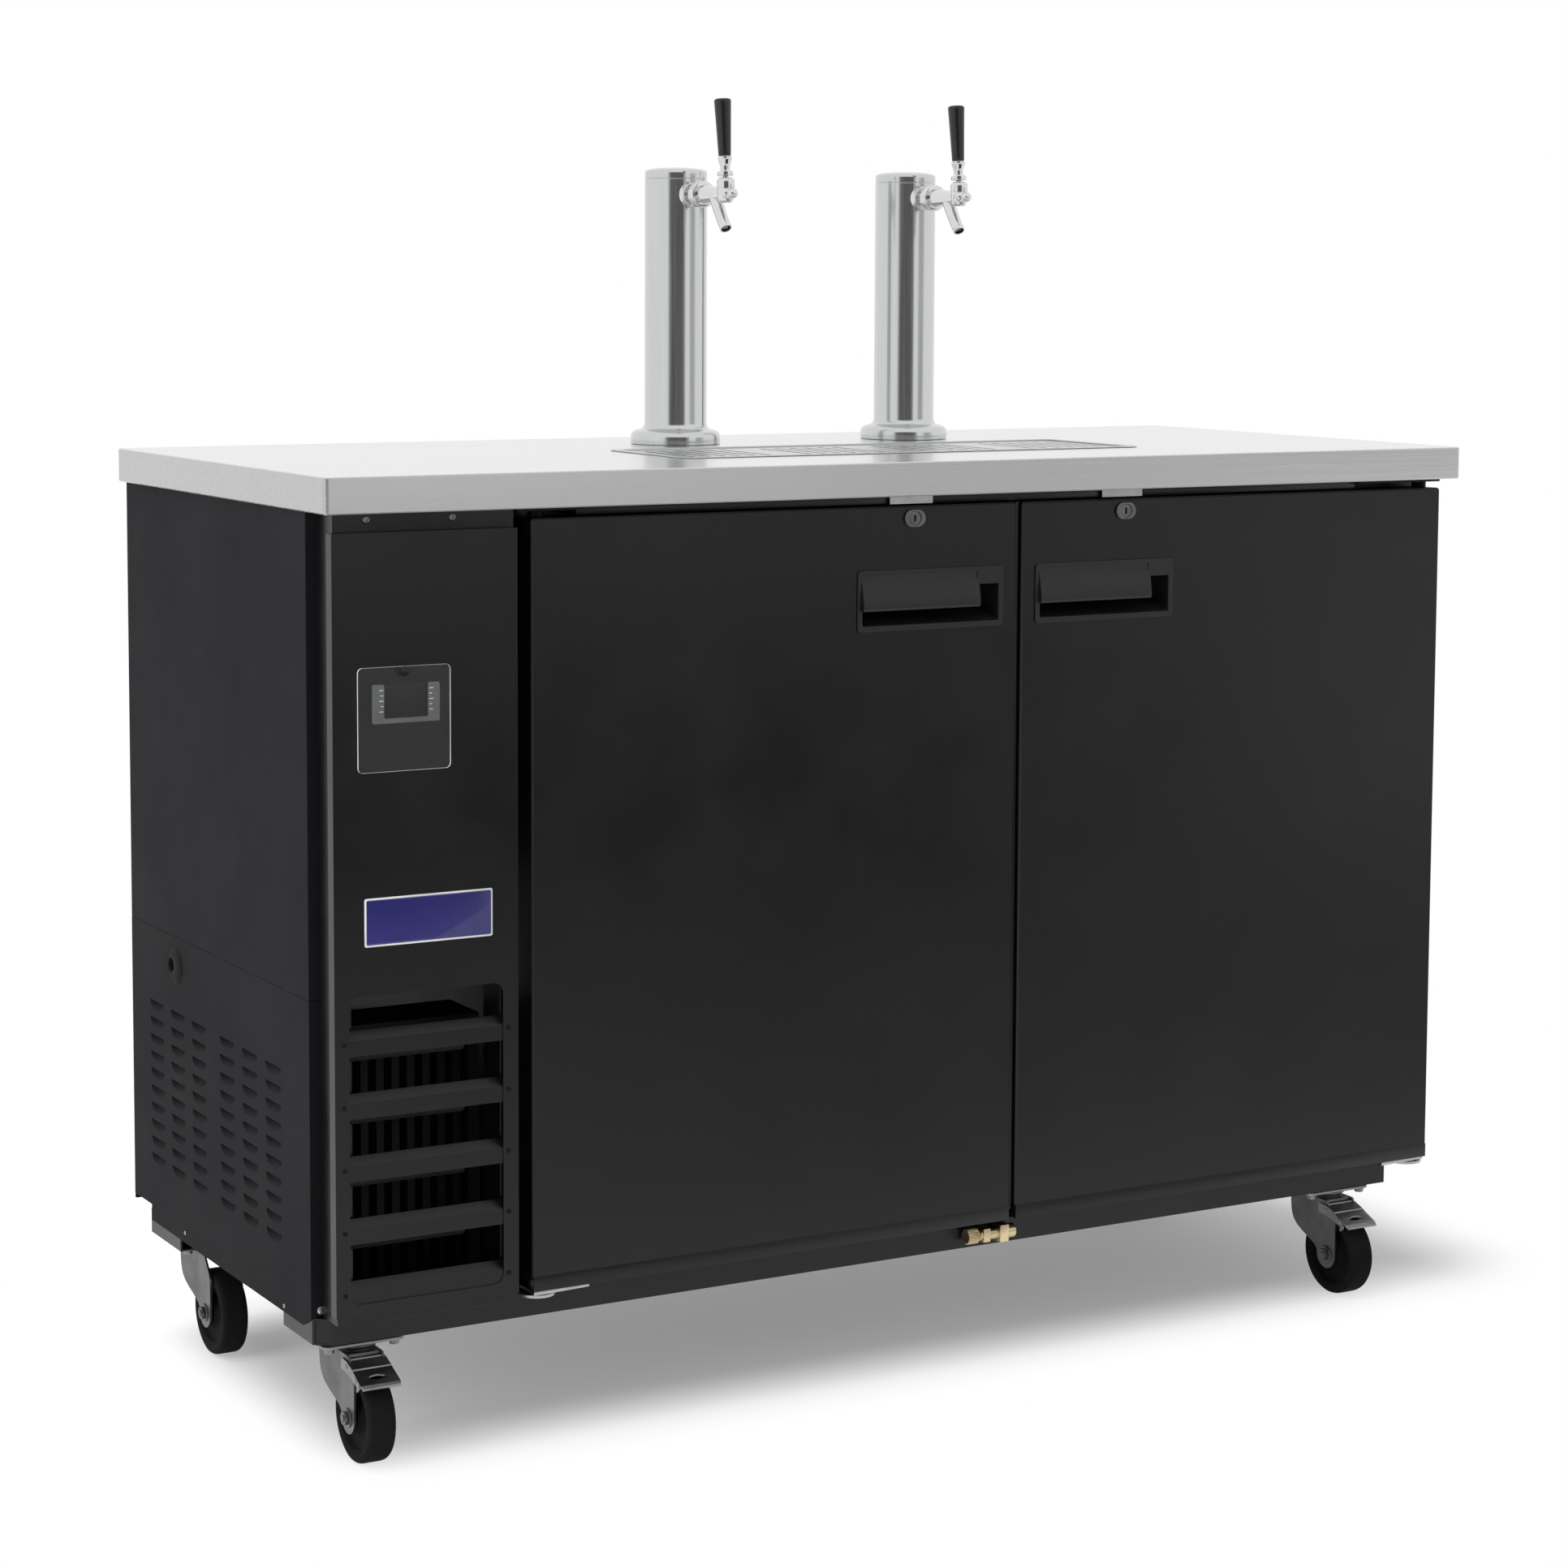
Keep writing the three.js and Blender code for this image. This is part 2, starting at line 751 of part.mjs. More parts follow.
function louvrePlaces() {
  const places = [];
  for (let row = 0; row < louvre_rows; row += 1) {
    for (let bank = 0; bank < louvre_banks; bank += 1) {
      for (let column = 0; column < louvre_columns; column += 1) {
        const y = louvre_first_y - bank * louvre_bank_pitch - column * louvre_column_pitch;
        places.push([y, louvre_first_height - louvre_height / 2 - row * louvre_row_pitch]);
      }
    }
  }
  return places;
}

function makeLowerSide() {
  const low = side_bottom_height;
  const high = side_split_height;
  const outline = [
    [shell_front, low + side_corner_cut], [shell_front + 2 * side_corner_cut, low],
    [cabinet_back - side_notch_length, low], [cabinet_back - side_notch_length, side_notch_height],
    [cabinet_back, side_notch_height], [cabinet_back, high], [shell_front, high],
  ];
  const panel = sidePanel(outline, shell_bottom, high + overrun);
  const scoops = together(louvrePlaces().map(([y, z]) => louvreWedge(y, z, sheet, 0)));
  const mouths = together(louvrePlaces().map(([y, z]) => louvreWedge(y, z, 0, overrun)));
  const hole = bar(
    grommet_radius - grommet_neck_drop, 'x', [0, grommet_y, side_split_height - grommet_below_split],
    cabinet_left - overrun, cabinet_left + sheet + overrun,
  );
  return cut(panel.add(scoops), mouths, hole);
}

// Rubber grommet: a domed disc outside, a groove that takes the sheet, and a flange inside. Its
// hole lies off centre.
function makeGrommet() {
  const neck = grommet_radius - grommet_neck_drop - fit_gap;
  const [outside, inside] = [cabinet_left - fit_gap, cabinet_left + sheet + fit_gap];
  const z = side_split_height - grommet_below_split;
  const body = turned([
    [0, outside - grommet_proud], [grommet_radius - grommet_proud, outside - grommet_proud],
    [grommet_radius, outside - grommet_edge], [grommet_radius, outside], [neck, outside], [neck, inside],
    [grommet_radius, inside], [grommet_radius, inside + sheet], [0, inside + sheet],
  ], 'x', [0, grommet_y, z]);
  const hole = bar(
    grommet_hole_radius, 'x', [0, grommet_y + grommet_hole_offset, z],
    outside - grommet_proud - overrun, inside + sheet + overrun,
  );
  return cut(body, hole);
}

// Rear cover of the machine bay, slotted for air, with the hole for the cord gland
const gland_x = cabinet_left + gland_from_left;
function makeRearCover() {
  const left = cabinet_left + sheet + fit_gap;
  const right = shell_left - fit_gap;
  const [inner, outer] = [rear_cover_front, rear_cover_back];
  const plate = block(left, right, inner, outer, shell_bottom, shell_top - sheet - fit_gap);
  const slots = [];
  for (let row = 0; row < rear_slot_count; row += 1) {
    const z = rear_slot_first + row * rear_slot_pitch;
    const slot_length = right - left - 2 * rear_slot_margin;
    const shape = slotOutline(slot_length, rear_slot_height, (left + right) / 2, z);
    slots.push(prismGeometry(shape, 'y', inner - overrun, outer + overrun, { curveSegments: slot_steps }));
  }
  const hole = bar(
    gland_radius - gland_neck_drop, 'y', [gland_x, 0, gland_height], inner - overrun, outer + overrun,
  );
  return cut(plate, together(slots), hole);
}

function makeGland() {
  const face = rear_cover_back + fit_gap;
  const neck = gland_radius - gland_neck_drop - fit_gap;
  const [inner, outer] = [face - gland_inside, face + gland_length];
  return turned([
    [gland_bore_radius, inner], [neck, inner], [neck, face], [gland_radius, face],
    [gland_radius, face + sheet], [gland_bore_radius + gland_tip_wall, outer],
    [gland_bore_radius, outer], [gland_bore_radius, inner],
  ], 'y', [gland_x, 0, gland_height], plain_facets);
}

// Welded frame behind the grille panel, notched over the tab of the left bottom hinge
const frame_front = -half_depth + frame_front_inset;
function makeMachineFrame() {
  const left = cabinet_left + frame_left_inset;
  const right = shell_left - frame_right_gap;
  const back = -half_depth + frame_back_inset;
  const outer = block(left, right, frame_front, back, sill_top + fit_gap, worktop_bottom - fit_gap);
  const room = block(
    left + frame_member, right - frame_member, frame_front - overrun, back + overrun,
    sill_top + fit_gap + frame_foot, worktop_bottom - fit_gap - frame_head,
  );
  const notch = block(
    hingeX(-1) - hinge_tab_from - fit_gap, right + overrun, base_front - fit_gap, back + overrun,
    sill_top, sill_top + hinge_plate + 2 * fit_gap,
  );
  return cut(outer, room, notch);
}

// Front panel of the machine bay: folded returns, a rounded window and five fixed blades behind it
const grille_left = -half_width + grille_left_inset;
const grille_right = shell_left - grille_right_gap;
const grille_front = -half_depth + grille_front_inset;
const grille_bottom = sill_top + grille_bottom_gap;
const grille_top = worktop_bottom - grille_top_gap;
const vent_left = grille_left + vent_left_margin;
const vent_right = grille_right - vent_right_margin;
const vent_bottom = grille_bottom + vent_bottom_margin;
const vent_top = vent_bottom + vent_height;

// Top edge of a blade's upright web
const bladeTop = (row) => vent_top - vent_height * (blade_first_share + row * blade_pitch_share);

function bladeGeometry(row) {
  const back = grille_front + grille_sheet;
  const web_top = bladeTop(row);
  const web_low = web_top - blade_web;
  const profile = [
    [back, web_top], [back + blade_slope, web_top + blade_slope],
    [back + blade_slope + grille_sheet, web_top + blade_slope - grille_sheet / 2],
    [back + grille_sheet, web_top - grille_sheet / 2], [back + grille_sheet, web_low], [back, web_low],
  ];
  return prismGeometry(profile, 'x', vent_left - blade_overlap, vent_right + blade_overlap);
}

function bladeLipGeometry(row) {
  const back = grille_front + grille_sheet;
  const low = bladeTop(row) - blade_web;
  const profile = [
    [back, low + grille_sheet / 2], [back + grille_sheet, low + grille_sheet / 2],
    [back + grille_sheet + blade_lip, low - blade_lip], [back + blade_lip, low - blade_lip],
  ];
  return prismGeometry(profile, 'x', vent_left, vent_right - blade_lip_cut);
}

function makeGrillePanel() {
  const back = frame_front - fit_gap;
  const outer = block(grille_left, grille_right, grille_front, back, grille_bottom, grille_top);
  const room = block(
    grille_left + grille_sheet, grille_right - grille_sheet, grille_front + grille_sheet, back + overrun,
    grille_bottom + grille_sheet, grille_top - grille_sheet,
  );
  const [before, behind] = [grille_front - overrun, grille_front + grille_sheet + overrun];
  const [vent_x, vent_z] = [(vent_left + vent_right) / 2, (vent_bottom + vent_top) / 2];
  const vent = prism(
    roundedRectangle(vent_right - vent_left, vent_height, vent_corner, vent_x, vent_z), 'y', before, behind,
  );
  const half_opening = control_width / 2 - control_rim;
  const rise = control_height / 2 - control_rim;
  const control = block(
    control_x - half_opening, control_x + half_opening, before, behind,
    control_centre_height - rise, control_centre_height + rise,
  );
  let panel = cut(outer, room, vent, control).add(coverScrew());
  for (let row = 0; row < blade_count; row += 1) {
    panel = panel.add(solid(bladeGeometry(row)));
    if (row < blade_count - 1) panel = panel.add(solid(bladeLipGeometry(row)));
  }
  return panel;
}

// Thermostat: a body behind the panel, a U-shaped frame in front, and the cover's screw
const control_x = -half_width + control_centre_inset;
function makeController() {
  const front = grille_front - fit_gap;
  const [left, right] = [control_x - control_width / 2, control_x + control_width / 2];
  const low = control_centre_height - control_height / 2;
  const high = control_centre_height + control_height / 2;
  const rim = block(left, right, front - control_rim, front, low, high);
  const screen = block(
    left + control_arm, right - control_arm, front - control_rim - overrun, front - control_rim / 2,
    low + control_foot, high + overrun,
  );
  const side = control_rim + fit_gap;
  const body = block(
    left + side, right - side, front - control_rim / 2, front + control_body_depth, low + side, high - side,
  );
  return cut(rim, screen).add(body);
}

// Where the clear cover hangs, in front of the panel
const cover_x = -half_width + cover_centre_inset;
const cover_screw_z = cover_top_height - cover_screw_below_top;
const cover_back = grille_front - cover_standoff;
const cover_front = cover_back - cover_thickness;

// Screw and spacer fixed to the panel, on which the cover swings
function coverScrew() {
  const head_back = cover_front - fit_gap;
  const head_front = head_back - cover_screw_head_height;
  const [spacer, end] = [cover_back + fit_gap, grille_front + grille_sheet + cover_screw_radius];
  return turned([
    [0, head_front], [cover_screw_head - cover_screw_head_height, head_front],
    [cover_screw_head, head_back - cover_screw_head_height / 2], [cover_screw_head, head_back],
    [cover_screw_radius, head_back], [cover_screw_radius, spacer], [cover_screw_head, spacer],
    [cover_screw_head, end], [0, end],
  ], 'y', [cover_x, 0, cover_screw_z], small_facets);
}

function makeCover() {
  const outline = roundedRectangle(
    cover_width, cover_height, cover_corner, cover_x, cover_top_height - cover_height / 2,
  );
  const plate = prism(outline, 'y', cover_front, cover_back);
  const hole = bar(
    cover_screw_radius + pin_play / 2, 'y', [cover_x, 0, cover_screw_z],
    cover_front - overrun, cover_back + overrun, small_facets,
  );
  return cut(plate, hole);
}

// Doors: a foamed slab with its grip pocket, lock bore, hinge bores and bottom hinge leaf
const gripX = (side) => (side < 0
  ? doorLeft(side) + door_width - grip_left_from_edge - grip_length / 2
  : doorLeft(side) + grip_right_from_edge + grip_length / 2);
const grip_z = door_top - grip_below_top - grip_height / 2;
const lockX = (side) => door_split + (side < 0 ? -lock_from_split_left : lock_from_split_right);
const lock_z = door_top - lock_below_top;
const cam_front = door_front + lock_barrel_length;

function makeDoor(side) {
  const [left, right] = [doorLeft(side), doorLeft(side) + door_width];
  const [middle_x, middle_z] = [(left + right) / 2, (door_bottom + door_top) / 2];
  const outline = roundedRectangle(
    door_width - 2 * door_edge, door_height - 2 * door_edge, door_edge, middle_x, middle_z,
  );
  const slab = prism(outline, 'y', door_front + door_edge, door_back - door_edge, {
    bevelEnabled: true, bevelSize: door_edge, bevelThickness: door_edge, bevelSegments: 1,
  });
  const pocket_reach = grip_length / 2 - grip_border + fit_gap;
  const pocket_rise = grip_height / 2 - grip_border + fit_gap;
  const pocket = block(
    gripX(side) - pocket_reach, gripX(side) + pocket_reach,
    door_front - overrun, door_front + grip_depth + fit_gap, grip_z - pocket_rise, grip_z + pocket_rise,
  );
  const bore = bar(
    lock_barrel_radius + pin_play, 'y', [lockX(side), 0, lock_z],
    door_front - lock_face_proud - overrun, cam_front + fit_gap,
  );
  const cam_room = block(
    lockX(side) - lock_cam_reach - pin_play, lockX(side) + lock_cam_reach + pin_play,
    cam_front - fit_gap, cam_front + lock_cam_thickness + 2 * fit_gap,
    lock_z - lock_cam_width, door_top + overrun,
  );
  const pin_hole = (low, high) => bar(
    hinge_pin_radius + pin_play, 'z', [hingeX(side), hinge_y, 0], low, high, small_facets,
  );
  const leaf_start = side < 0 ? left + door_edge : right - door_edge - hinge_leaf_length;
  const collar = prism(
    roundedRectangle(lock_face_width, lock_face_height, lock_face_height / 2 - fit_gap, lockX(side), lock_z),
    'y', door_front - lock_face_proud, door_front + door_edge,
  );
  const half_leaf = hinge_leaf_depth / 2;
  const leaf = block(
    leaf_start, leaf_start + hinge_leaf_length, hinge_y - half_leaf, hinge_y + half_leaf,
    door_bottom - hinge_leaf, door_bottom + overrun,
  );
  return cut(
    cut(join(slab, collar), pocket, bore, cam_room).add(leaf),
    pin_hole(door_bottom - hinge_leaf - overrun, door_bottom + hinge_pin_length + overrun),
    pin_hole(door_top - hinge_pin_length - overrun, door_top + overrun),
  );
}

function makeGasket(side) {
  const [left, right] = [doorLeft(side) + gasket_inset, doorLeft(side) + door_width - gasket_inset];
  const [low, high] = [door_bottom + gasket_inset, door_top - gasket_inset];
  const [front, back] = [door_back + fit_gap, shell_front - fit_gap];
  const ring = block(left, right, front, back, low, high);
  const room = block(
    left + gasket_width, right - gasket_width, front - overrun, back + overrun,
    low + gasket_width, high - gasket_width,
  );
  return cut(ring, room);
}

// Grip: a moulded tub with a border, and a hood that bulges over all but its foot and right end
function makeGrip(side) {
  const x = gripX(side);
  const [left, right] = [x - grip_length / 2, x + grip_length / 2];
  const [low, high] = [grip_z - grip_height / 2, grip_z + grip_height / 2];
  const face = door_front - fit_gap;
  const border = prism(
    roundedRectangle(grip_length, grip_height, grip_border, x, grip_z), 'y', face - grip_flange, face,
  );
  const tub = block(
    left + grip_border, right - grip_border, face - grip_flange / 2, door_front + grip_depth,
    low + grip_border, high - grip_border,
  );
  const inside = grip_border + grip_wall;
  const room = block(
    left + inside, right - inside, face - grip_flange - overrun, door_front + grip_depth - grip_wall,
    low + inside, high - inside,
  );
  const hood_low = low + inside + grip_mouth_height;
  const hood_right = right - inside - grip_mouth_width;
  const [hood_top, crest] = [high - inside / 2, face - hood_bulge];
  const hood_profile = [
    [face - grip_flange, hood_top], [face, hood_top], [face, hood_low + hood_lip],
    [crest + 2 * grip_wall, hood_low + grip_wall], [face - grip_wall, hood_low + grip_wall],
    [face - grip_wall, hood_low], [crest + grip_wall, hood_low], [crest, hood_low + grip_wall],
    [crest, hood_low + hood_lip / 2], [face - hood_shoulder_proud, hood_low + hood_shoulder],
  ];
  const hood = prism(hood_profile, 'x', left + inside / 2, hood_right);
  const cheek = block(
    hood_right - overrun, right - inside / 2, face - grip_flange, face,
    low + inside + grip_mouth_rise, high - inside / 2,
  );
  return join(cut(border.add(tub), room), hood, cheek);
}

// Lock: a barrel with a keyway, and the cam that turns up behind the strike
function makeLock(side) {
  const x = lockX(side);
  const face = door_front - lock_face_proud + fit_gap;
  const barrel = bar(lock_barrel_radius, 'y', [x, 0, lock_z], face, cam_front + fit_gap / 2);
  const keyway = block(
    x - key_slot_width / 2, x + key_slot_width / 2, face - overrun, face + lock_face_proud,
    lock_z - key_slot_height / 2, lock_z + key_slot_height / 2,
  );
  const cam = block(
    x - lock_cam_reach, x + lock_cam_width / 2, cam_front, cam_front + lock_cam_thickness,
    lock_z - lock_cam_width / 2, lock_z + lock_cam_width / 2,
  );
  return cut(join(barrel, cam), keyway);
}

// Strike: an angle under the worktop, whose drop stands in front of the cam
function makeStrike(side) {
  const x = lockX(side);
  const back = cam_front - strike_to_cam;
  const [left, right] = [x - strike_width / 2, x + strike_width / 2];
  const top = worktop_bottom - fit_gap;
  const [face, under] = [back - strike_thickness, top - strike_thickness];
  const profile = [
    [face, top], [face, top - strike_drop], [back, top - strike_drop],
    [back, under], [back + strike_depth, under], [back + strike_depth, top],
  ];
  return prism(profile, 'x', left, right);
}

// Bottom hinge: a plate on the sill's front edge with a tab, a notch and a round nose that
// carries the post and the pin of the door
function makeBottomHinge(side) {
  const pivot = hingeX(side);
  const back = shell_front - fit_gap;
  const low = sill_top + fit_gap;
  const notch = base_front + hinge_notch_depth;
  const plate = prism([
    [pivot - hinge_tab_from, base_front], [pivot - hinge_tab_to, base_front], [pivot - hinge_tab_to, notch],
    [pivot - hinge_neck_to, notch], [pivot, hinge_y], [pivot + hinge_neck_to, back],
    [pivot - hinge_tab_from, back],
  ], 'z', low, low + hinge_plate);
  const nose = bar(hinge_nose_radius, 'z', [pivot, hinge_y, 0], low, low + hinge_plate, fine_facets);
  const seat = door_bottom - hinge_leaf - fit_gap;
  const post = turned([
    [0, low + hinge_plate / 2], [hinge_post_radius, low + hinge_plate / 2], [hinge_post_radius, seat],
    [hinge_pin_radius, seat], [hinge_pin_radius, door_bottom + hinge_pin_length],
    [0, door_bottom + hinge_pin_length],
  ], 'z', [pivot, hinge_y, 0], plain_facets);
  return join(plate, nose, post);
}

// Top hinge: a plate under the worktop with the boss and pin that hold the door's head
function makeTopHinge(side) {
  const pivot = hingeX(side);
  const top = worktop_bottom - fit_gap;
  const [before, after] = side < 0 ? top_hinge_reaches.left : top_hinge_reaches.right;
  const front = hinge_y - hinge_nose_radius;
  const back = shell_front - fit_gap;
  const outline = roundedRectangle(
    before + after, back - front, hinge_plate, pivot + (after - before) / 2, (front + back) / 2,
  );
  const plate = prism(outline, 'z', top - hinge_plate, top);
  const pin = turned([
    [0, door_top - hinge_pin_length], [hinge_pin_radius, door_top - hinge_pin_length],
    [hinge_pin_radius, door_top + fit_gap], [hinge_post_radius, door_top + fit_gap],
    [hinge_post_radius, top - hinge_plate / 2], [0, top - hinge_plate / 2],
  ], 'z', [pivot, hinge_y, 0], plain_facets);
  return join(plate, pin);
}

// Hermetic compressor: a domed pot on a foot plate
function makeCompressor() {
  const x = (cabinet_left + shell_left) / 2;
  const floor = sill_top + fit_gap;
  const foot = block(
    x - compressor_foot / 2, x + compressor_foot / 2, compressor_y - compressor_foot / 2,
    compressor_y + compressor_foot / 2, floor, floor + compressor_foot_thickness,
  );
  const shoulder = floor + compressor_height * compressor_shoulder_share;
  const root = floor + compressor_foot_thickness / 2;
  const pot = [
    [0, root], [compressor_radius * compressor_root_share, root],
    [compressor_radius, floor + compressor_height * compressor_curve_share], [compressor_radius, shoulder],
  ];
  for (let step = 1; step <= dome_steps; step += 1) {
    const angle = quarter_turn * (step / dome_steps);
    pot.push([
      step === dome_steps ? 0 : compressor_radius * Math.cos(angle),
      shoulder + (floor + compressor_height - shoulder) * Math.sin(angle),
    ]);
  }
  return join(foot, turned(pot, 'z', [x, compressor_y, 0], fine_facets));
}

// Finned condenser with its fan shroud, motor and arms, standing behind the front grille
const condenser_x = (cabinet_left + shell_left) / 2;
const condenser_front = shell_front + condenser_front_gap;
const condenser_bottom = sill_top + fit_gap;
const fan_z = condenser_bottom + condenser_height / 2;
const fan_y = condenser_front + condenser_thickness + shroud_depth / 2;
function makeCondenser() {
  const [left, right] = [condenser_x - condenser_width / 2, condenser_x + condenser_width / 2];
  const back = condenser_front + condenser_thickness;
  const condenser_top = condenser_bottom + condenser_height;
  const block_of_fins = block(left, right, condenser_front, back, condenser_bottom, condenser_top);
  const pitch = condenser_width / (condenser_fin_count + 1);
  const grooves = [];
  for (let fin = 1; fin <= condenser_fin_count; fin += 1) {
    const x = left + fin * pitch;
    grooves.push(blockGeometry(
      x - condenser_fin_groove / 2, x + condenser_fin_groove / 2, condenser_front - overrun,
      condenser_front + condenser_thickness * condenser_groove_share,
      condenser_bottom + pitch, condenser_top - pitch,
    ));
  }
  const shroud = block(left, right, back - overrun, back + shroud_depth, condenser_bottom, condenser_top);
  const centre = [condenser_x, 0, fan_z];
  const mouth = bar(fan_radius + fan_play, 'y', centre, back, back + shroud_depth + overrun, fine_facets);
  const motor_back = back + shroud_depth + fan_motor_length;
  const motor_front = fan_y + fan_hub_length / 2 + fan_play;
  const motor = bar(fan_motor_radius, 'y', centre, motor_front, motor_back);
  const shaft = bar(fan_shaft_radius, 'y', centre, fan_y, motor_front + overrun, small_facets);
  const arm = block(
    left, right, back + shroud_depth - sheet, back + shroud_depth + 2 * sheet,
    fan_z - fan_arm_width / 2, fan_z + fan_arm_width / 2,
  );
  return join(cut(block_of_fins, together(grooves)), cut(shroud, mouth), arm, motor, shaft);
}

function makeFan() {
  const half = fan_hub_length / 2;
  const bore = fan_shaft_radius + fit_gap;
  const step_y = fan_y - half / 2;
  const hub = turned([
    [bore, step_y], [bore, fan_y + half], [fan_hub_radius, fan_y + half], [fan_hub_radius, step_y],
    [fan_hub_radius * fan_nose_share, fan_y - half], [0, fan_y - half], [0, step_y], [bore, step_y],
  ], 'y', [condenser_x, 0, fan_z]);
  const root = fan_hub_radius * fan_root_share;
  const blades = [];
  for (let n = 0; n < fan_blades; n += 1) {
    const blade = new THREE.BoxGeometry(fan_blade_chord, fan_blade_thickness, fan_radius - root);
    blade.translate(0, 0, (fan_radius + root) / 2 - fan_play / 2);
    blade.rotateZ(fan_blade_pitch);
    blade.rotateY((2 * half_turn * n) / fan_blades);
    blade.translate(condenser_x, fan_y, fan_z);
    blades.push(solid(blade));
  }
  const reach = bar(
    fan_radius, 'y', [condenser_x, 0, fan_z], fan_y - shroud_depth, fan_y + shroud_depth, fine_facets,
  );
  return join(hub, ...blades).intersect(reach);
}

// Evaporator housing under the ceiling of the keg bay
function makeEvaporator() {
  const left = bay_left + 2 * fit_gap + liner_wall + evaporator_from_wall;
  const back = bay_back - 2 * fit_gap - liner_wall;
  const top = bay_top - 2 * fit_gap - liner_wall;
  const [right, front, low] = [left + evaporator_width, back - evaporator_depth, top - evaporator_height];
  const outer = block(left, right, front, back, low, top);
  const room = block(
    left + evaporator_wall, right - evaporator_wall, front + evaporator_wall, back - evaporator_wall,
    low + evaporator_wall, top - evaporator_wall,
  );
  const inlet = bar(
    evaporator_inlet_radius, 'z', [(left + right) / 2, (front + back) / 2, 0],
    low - overrun, low + evaporator_wall + overrun,
  );
  const slot_pitch_z = (evaporator_height - 2 * evaporator_from_wall) / (evaporator_slot_count - 1);
  const slots = [];
  for (let row = 0; row < evaporator_slot_count; row += 1) {
    const z = top - evaporator_from_wall - row * slot_pitch_z;
    slots.push(blockGeometry(
      left + evaporator_from_wall, right - evaporator_from_wall, front - overrun,
      front + evaporator_wall + overrun,
      z - evaporator_slot_height / 2, z + evaporator_slot_height / 2,
    ));
  }
  return cut(outer, room, inlet, together(slots));
}

// Drip pan: a rim on the worktop, a ledge for the grate, a well and a drain spigot
function trayPrism(shrink, low, high) {
  const corner = tray_corner - Math.min(shrink, tray_corner / 2);
  const [length, depth] = [tray_length - 2 * shrink, tray_depth - 2 * shrink];
  const outline = roundedRectangle(length, depth, corner, tray_x, tray_y);
  return prism(outline, 'z', low, high);
}

const ledge_top = worktop_height - tray_ledge_drop;
function makeDripPan() {
  const rim_low = worktop_height + fit_gap;
  const floor_low = worktop_height - tray_drop - tray_wall;
  const rim = trayPrism(0, rim_low, rim_low + tray_wall);
  const upper = trayPrism(tray_rim, ledge_top - tray_wall, rim_low + tray_wall);
  const lower = trayPrism(tray_rim + tray_ledge, floor_low, ledge_top);
  const upper_room = trayPrism(tray_rim + tray_wall, ledge_top, rim_low + tray_wall + overrun);
  const inset = tray_rim + tray_ledge + tray_wall;
  const lower_room = trayPrism(inset, floor_low + tray_wall, ledge_top + overrun);
  const [drain, drain_end] = [[tray_x, tray_y, 0], floor_low - drain_length];
  const spigot = bar(drain_radius, 'z', drain, drain_end, floor_low + tray_wall / 2);
  const bore = bar(drain_bore_radius, 'z', drain, drain_end - overrun, floor_low + tray_wall + overrun);
  return cut(join(rim, upper, lower, spigot), upper_room, lower_room, bore);
}

function makeGrate() {
  const shrink = tray_rim + tray_wall + grate_slack;
  const [length, depth] = [tray_length - 2 * shrink, tray_depth - 2 * shrink];
  const outline = roundedRectangle(length, depth, tray_corner / 2, tray_x, tray_y);
  const slot_group_pitch = length * slot_group_share;
  const slot_pitch = slot_group_pitch * slot_pitch_share;
  const slot_length = depth * slot_length_share;
  const first_group = tray_x - (slot_group_pitch * (slot_groups - 1)) / 2;
  const first_slot = -(slot_pitch * (slots_in_group - 1)) / 2;
  for (let group = 0; group < slot_groups; group += 1) {
    for (let n = 0; n < slots_in_group; n += 1) {
      const x = first_group + group * slot_group_pitch + first_slot + n * slot_pitch;
      outline.holes.push(slotOutline(slot_width, slot_length, x, tray_y, THREE.Path));
    }
  }
  return prism(outline, 'z', ledge_top + fit_gap, ledge_top + fit_gap + grate_thickness, {
    curveSegments: slot_steps,
  });
}

// Brass drain valve lying along the sill, on a stem that passes through it
function makeValve() {
  const y = base_front - valve_standoff;
  const z = sill_bottom + valve_above_sill;
  const start = valve_x - valve_length / 2;
  const end = start + valve_length;
  const nut_start = end - valve_end_length - valve_nut_length;
  const body = turned([
    [0, start], [valve_cap_radius, start], [valve_cap_radius, start + valve_cap_length],
    [valve_radius, start + valve_cap_length + valve_radius / 2], [valve_radius, nut_start + overrun],
    [valve_radius, end - valve_end_length], [valve_end_radius, end - valve_end_length],
    [valve_end_radius, end], [valve_radius, end], [valve_radius, end - valve_end_length / 2],
    [0, end - valve_end_length / 2],
  ], 'x', [0, y, z], plain_facets);
  const nut = bar(valve_nut_radius, 'x', [0, y, z], nut_start, nut_start + valve_nut_length, nut_facets);
  const stem = bar(valve_stem_radius, 'y', [valve_x, 0, z], y, y + valve_stem_length, small_facets);
  const shoulder = bar(valve_radius, 'y', [valve_x, 0, z], y, base_front - fit_gap, small_facets);
  return join(body, nut, stem, shoulder);
}

